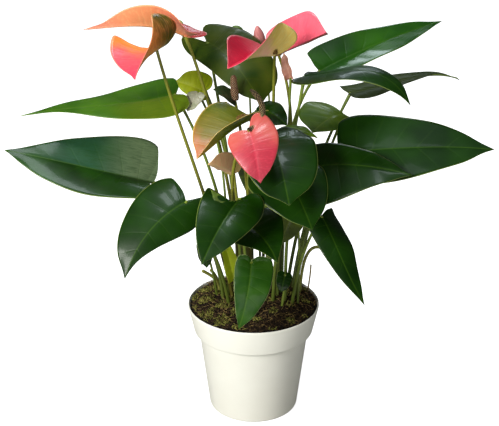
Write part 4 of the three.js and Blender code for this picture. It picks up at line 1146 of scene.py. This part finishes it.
def scatter_tree():
    """Copies of a small shape strewn over a sheet, each turned and sized by chance."""
    graph, sheet, thing, density, smallest, largest, seed, finish = geometry_graph(
        "strewn_on_peat", Thing="Object", Density="Float", Smallest="Float", Largest="Float",
        Seed="Int", Finish="Material",
    )
    inputs = {"Mesh": sheet, "Density": density, "Seed": seed}
    spread = graph.node("GeometryNodeDistributePointsOnFaces", inputs, output="Points")
    shape = graph.node("GeometryNodeObjectInfo", {"Object": thing}, output="Geometry")
    inputs = {0: (-TILT, -TILT, 0), 1: (TILT, TILT, 2 * math.pi), "Seed": seed}
    turn = graph.node("FunctionNodeRandomValue", inputs, {"data_type": "FLOAT_VECTOR"})
    inputs = {2: smallest, 3: largest, "Seed": seed + 7}
    inputs = {
        "Points": spread, "Rotation": graph.node("FunctionNodeEulerToRotation", {0: turn}),
        "Scale": graph.node("FunctionNodeRandomValue", inputs, {"data_type": "FLOAT"}, output=1),
        "Instance": shape,
    }
    return close_graph(graph, graph.node("GeometryNodeInstanceOnPoints", inputs), finish)


CRUMB_SQUASH = [1.0, 0.8, 0.62]
EDGE_COSINE = 0.44


def crumb_shape():
    """A lump of peat: a squashed icosahedron about one millimetre across before it is sized."""
    golden = (1 + 5**0.5) / 2
    corners = []
    for a, b in ((1, golden), (-1, golden), (1, -golden), (-1, -golden)):
        corners += [(0, a, b), (a, b, 0), (b, 0, a)]
    corners = unit(corners)
    faces = []
    for i, j, k in combinations(range(12), 3):
        p, q, r = corners[[i, j, k]]
        if min(p @ q, q @ r, r @ p) > EDGE_COSINE:
            faces.append((i, j, k) if np.cross(q - p, r - p) @ p > 0 else (i, k, j))
    mesh = make_mesh("crumb_shape", corners * 0.5 * CRUMB_SQUASH, faces)
    return bpy.data.objects.new("crumb_shape", mesh)


def strand_shape(name, length, width, bend, lift, steps=5):
    """A bent three-sided strand that starts at the origin."""
    points = []
    for i in range(steps + 1):
        u = i / steps
        centre = np.array([length * u, bend * math.sin(math.pi * u), lift * u * (1.6 - u)])
        r = width / 2 * (1 - 0.7 * u)
        for a in (2 * math.pi * k / 3 for k in range(3)):
            points.append(centre + [0, r * math.cos(a), r * math.sin(a)])
    return bpy.data.objects.new(name, make_mesh(name, points, tube(numbered(steps + 1, 3))))


heap = peat_mesh("peat_heap", peat_finish("peat_dark", (9, 6, 3), (38, 27, 16)))
piece("peat_heap", heap, "soil", slot="peat")

SCATTER_TREE = scatter_tree()


def strew(name, sheet, **how):
    """Something loose on the peat. density counts the copies on a square metre."""
    piece(name, grown(name, patch_mesh(name + "_sheet", **sheet), SCATTER_TREE, **how), slot="peat")


strew(
    "peat_crumbs", {}, thing=crumb_shape(), density=280000.0, smallest=1.2, largest=3.8, seed=11,
    finish=peat_finish("peat_crumbs_brown", (16, 11, 6), (72, 54, 34)),
)
strew(
    "peat_fibres", dict(lift=0.6), thing=strand_shape("fibre_shape", 7, 0.45, 1.4, 1.2),
    density=70000.0, smallest=0.5, largest=1.5, seed=23,
    finish=peat_finish("fibre_straw", (80, 62, 34), (178, 152, 96)),
)


def in_clump(x, y):
    """Whether moss grows here: more of it to the left."""
    return math.sin(x * 0.21 + 1.3) * math.sin(y * 0.27 + 0.6) + (0.3 if x < -12 else -0.3) > 0.42


strew(
    "peat_moss", dict(back=20, step=1.5, lift=0.3, keep=in_clump),
    thing=strand_shape("moss_shape", 2.6, 0.7, 0.5, 2.4),
    density=700000.0, smallest=0.5, largest=1.5, seed=5,
    finish=peat_finish("moss_yellow_green", (60, 66, 16), (170, 168, 84), 300),
)


# Pot


def pot_mesh(name, finish):
    """The moulded shell: its band, lip and foot with their small rounds."""
    pad, foot, waist, band = CENTRE_PAD_RADIUS, POT_BASE_RADIUS, POT_NECK_RADIUS, BAND_FOOT_RADIUS
    rim, top, inside = POT_RIM_RADIUS, POT_HEIGHT, inner_radius
    profile = [
        (0, 0), (pad, 0), (pad + 0.6, 0.5), (pad + 1, FOOT_LIFT), (foot - 7, FOOT_LIFT),
        (foot - 5.6, 0.6), (foot - 5, 0), (foot - 1, 0), (foot - 0.3, 0.25), (foot, 0.8), (foot + 0.2, 1.6),
        (waist - 0.15, NECK - 1.2), (waist + 0.1, NECK - 0.4), (waist + 0.7, NECK),
        (band - 0.9, NECK + 0.35), (band - 0.25, NECK + 0.7), (band, NECK + 1.6),
        (rim - 0.1, top - 2), (rim, top - 1.3), (rim - 0.1, top - 0.6), (rim - 0.5, top - 0.15),
        (rim - 0.9, top - 0.05), (inside(top) + 0.2, top - 0.35), (inside(top), top - 1.2),
        (inside(NECK + 1.8), NECK + 1.8), (inside(NECK - 0.1), NECK - 0.1),
        (inside(FLOOR_THICKNESS), FLOOR_THICKNESS), (0, FLOOR_THICKNESS),
    ]
    points, rings = [], []
    for radius, z in profile:
        ring = circle(radius, z, POT_SIDES) if radius else [(0, 0, z)]
        numbers = numbered(1, len(ring), len(points))[0]
        rings.append(numbers if radius else numbers * POT_SIDES)
        points += ring
    return smooth(make_mesh(name, points, between(rings), finish))


def drill_mesh(name):
    """The rods that the drain holes are cut with."""
    points, faces = [], []
    for x, y, _ in circle(DRAIN_CIRCLE_RADIUS, 0, DRAIN_HOLES):
        faces += tube(numbered(2, DRILL_SIDES, len(points)))
        for z in (-2 * FLOOR_THICKNESS, 2 * FLOOR_THICKNESS):
            points += circle(DRAIN_HOLE_RADIUS, z, DRILL_SIDES, x, y)
    return make_mesh(name, points, faces)


def pot_shell():
    """The shell with its drain holes, which a Boolean modifier cuts."""
    shell = in_scene("pot_shell_uncut", pot_mesh("pot_blank", pot_finish()))
    drill = in_scene("drill", drill_mesh("drill"))
    cut = shell.modifiers.new("holes", "BOOLEAN")
    cut.operation, cut.solver, cut.object = "DIFFERENCE", "EXACT", drill
    made = plain_mesh("pot_shell", shell)
    bpy.data.objects.remove(drill)
    return made


piece("pot_shell", pot_shell(), "pot", slot="pot")


# Floor, light and camera

FLOOR_LEVEL = -0.4
FLOOR_CORNERS = [(x, y, FLOOR_LEVEL) for x, y in ((-6000, -3000), (6000, -3000), (6000, 9000), (-6000, 9000))]
in_scene("floor", make_mesh("floor", FLOOR_CORNERS, [(0, 1, 2, 3)], floor_finish()))


def aim(made, place, target, scale=1):
    """Puts a light or the camera in its place and turns it to what it looks at."""
    place, target = Vector(place), Vector(target)
    made.location = place * scale
    made.rotation_euler = ((target - place) * scale).to_track_quat("-Z", "Y").to_euler()


# Soft lights: place, target and size in metres, power in watts, colour
LIGHTS = dict(
    window_left=((-1.0, -1.2, 0.95), (0, 0, 0.2), (0.6, 0.6), 34, (1.0, 0.985, 0.95)),
    window_back=((0.25, 2.0, 1.3), (0, 0, 0.25), (0.7, 0.3), 4, (0.8, 0.92, 1.0)),
    room_front=((0.35, -1.9, 0.3), (0, 0, 0.2), (1.2, 0.7), 7, (1.0, 0.98, 0.95)),
    sky_above=((-0.1, -0.05, 1.9), (0, 0, 0.2), (0.6, 0.45), 14, (0.85, 0.94, 1.0)),
)
for light_name, (place, target, size, power, colour) in LIGHTS.items():
    light = bpy.data.lights.new(light_name, "AREA")
    light.shape, light.size, light.size_y = "RECTANGLE", *size
    light.energy, light.color = power, colour
    aim(in_scene(light_name, light), place, target)

# The world is white to the camera, dim on the plant and nearly dark in its gloss
SEEN_RAY, GLOSSY_RAY = 0, 3
world = bpy.data.worlds.new("studio")
world.use_nodes = True
world_graph = Graph(world.node_tree)
seen, glossy = world_graph.node("ShaderNodeLightPath", output=(SEEN_RAY, GLOSSY_RAY))
sky = world.node_tree.nodes["Background"]
sky.inputs["Color"].default_value = (1, 1, 1, 1)
world_graph.plug(sky.inputs["Strength"], 0.2 - glossy * 0.16 + seen * 0.8)
bpy.context.scene.world = world

camera_data = bpy.data.cameras.new("camera")
camera_data.lens, camera_data.sensor_width, camera_data.clip_end = CAMERA_LENS, CAMERA_SENSOR, CAMERA_FAR_END
camera = in_scene("camera", camera_data)
aim(camera, CAMERA_PLACE, CAMERA_TARGET, MM)
bpy.context.scene.camera = camera
bpy.context.scene.view_settings.view_transform = "Standard"
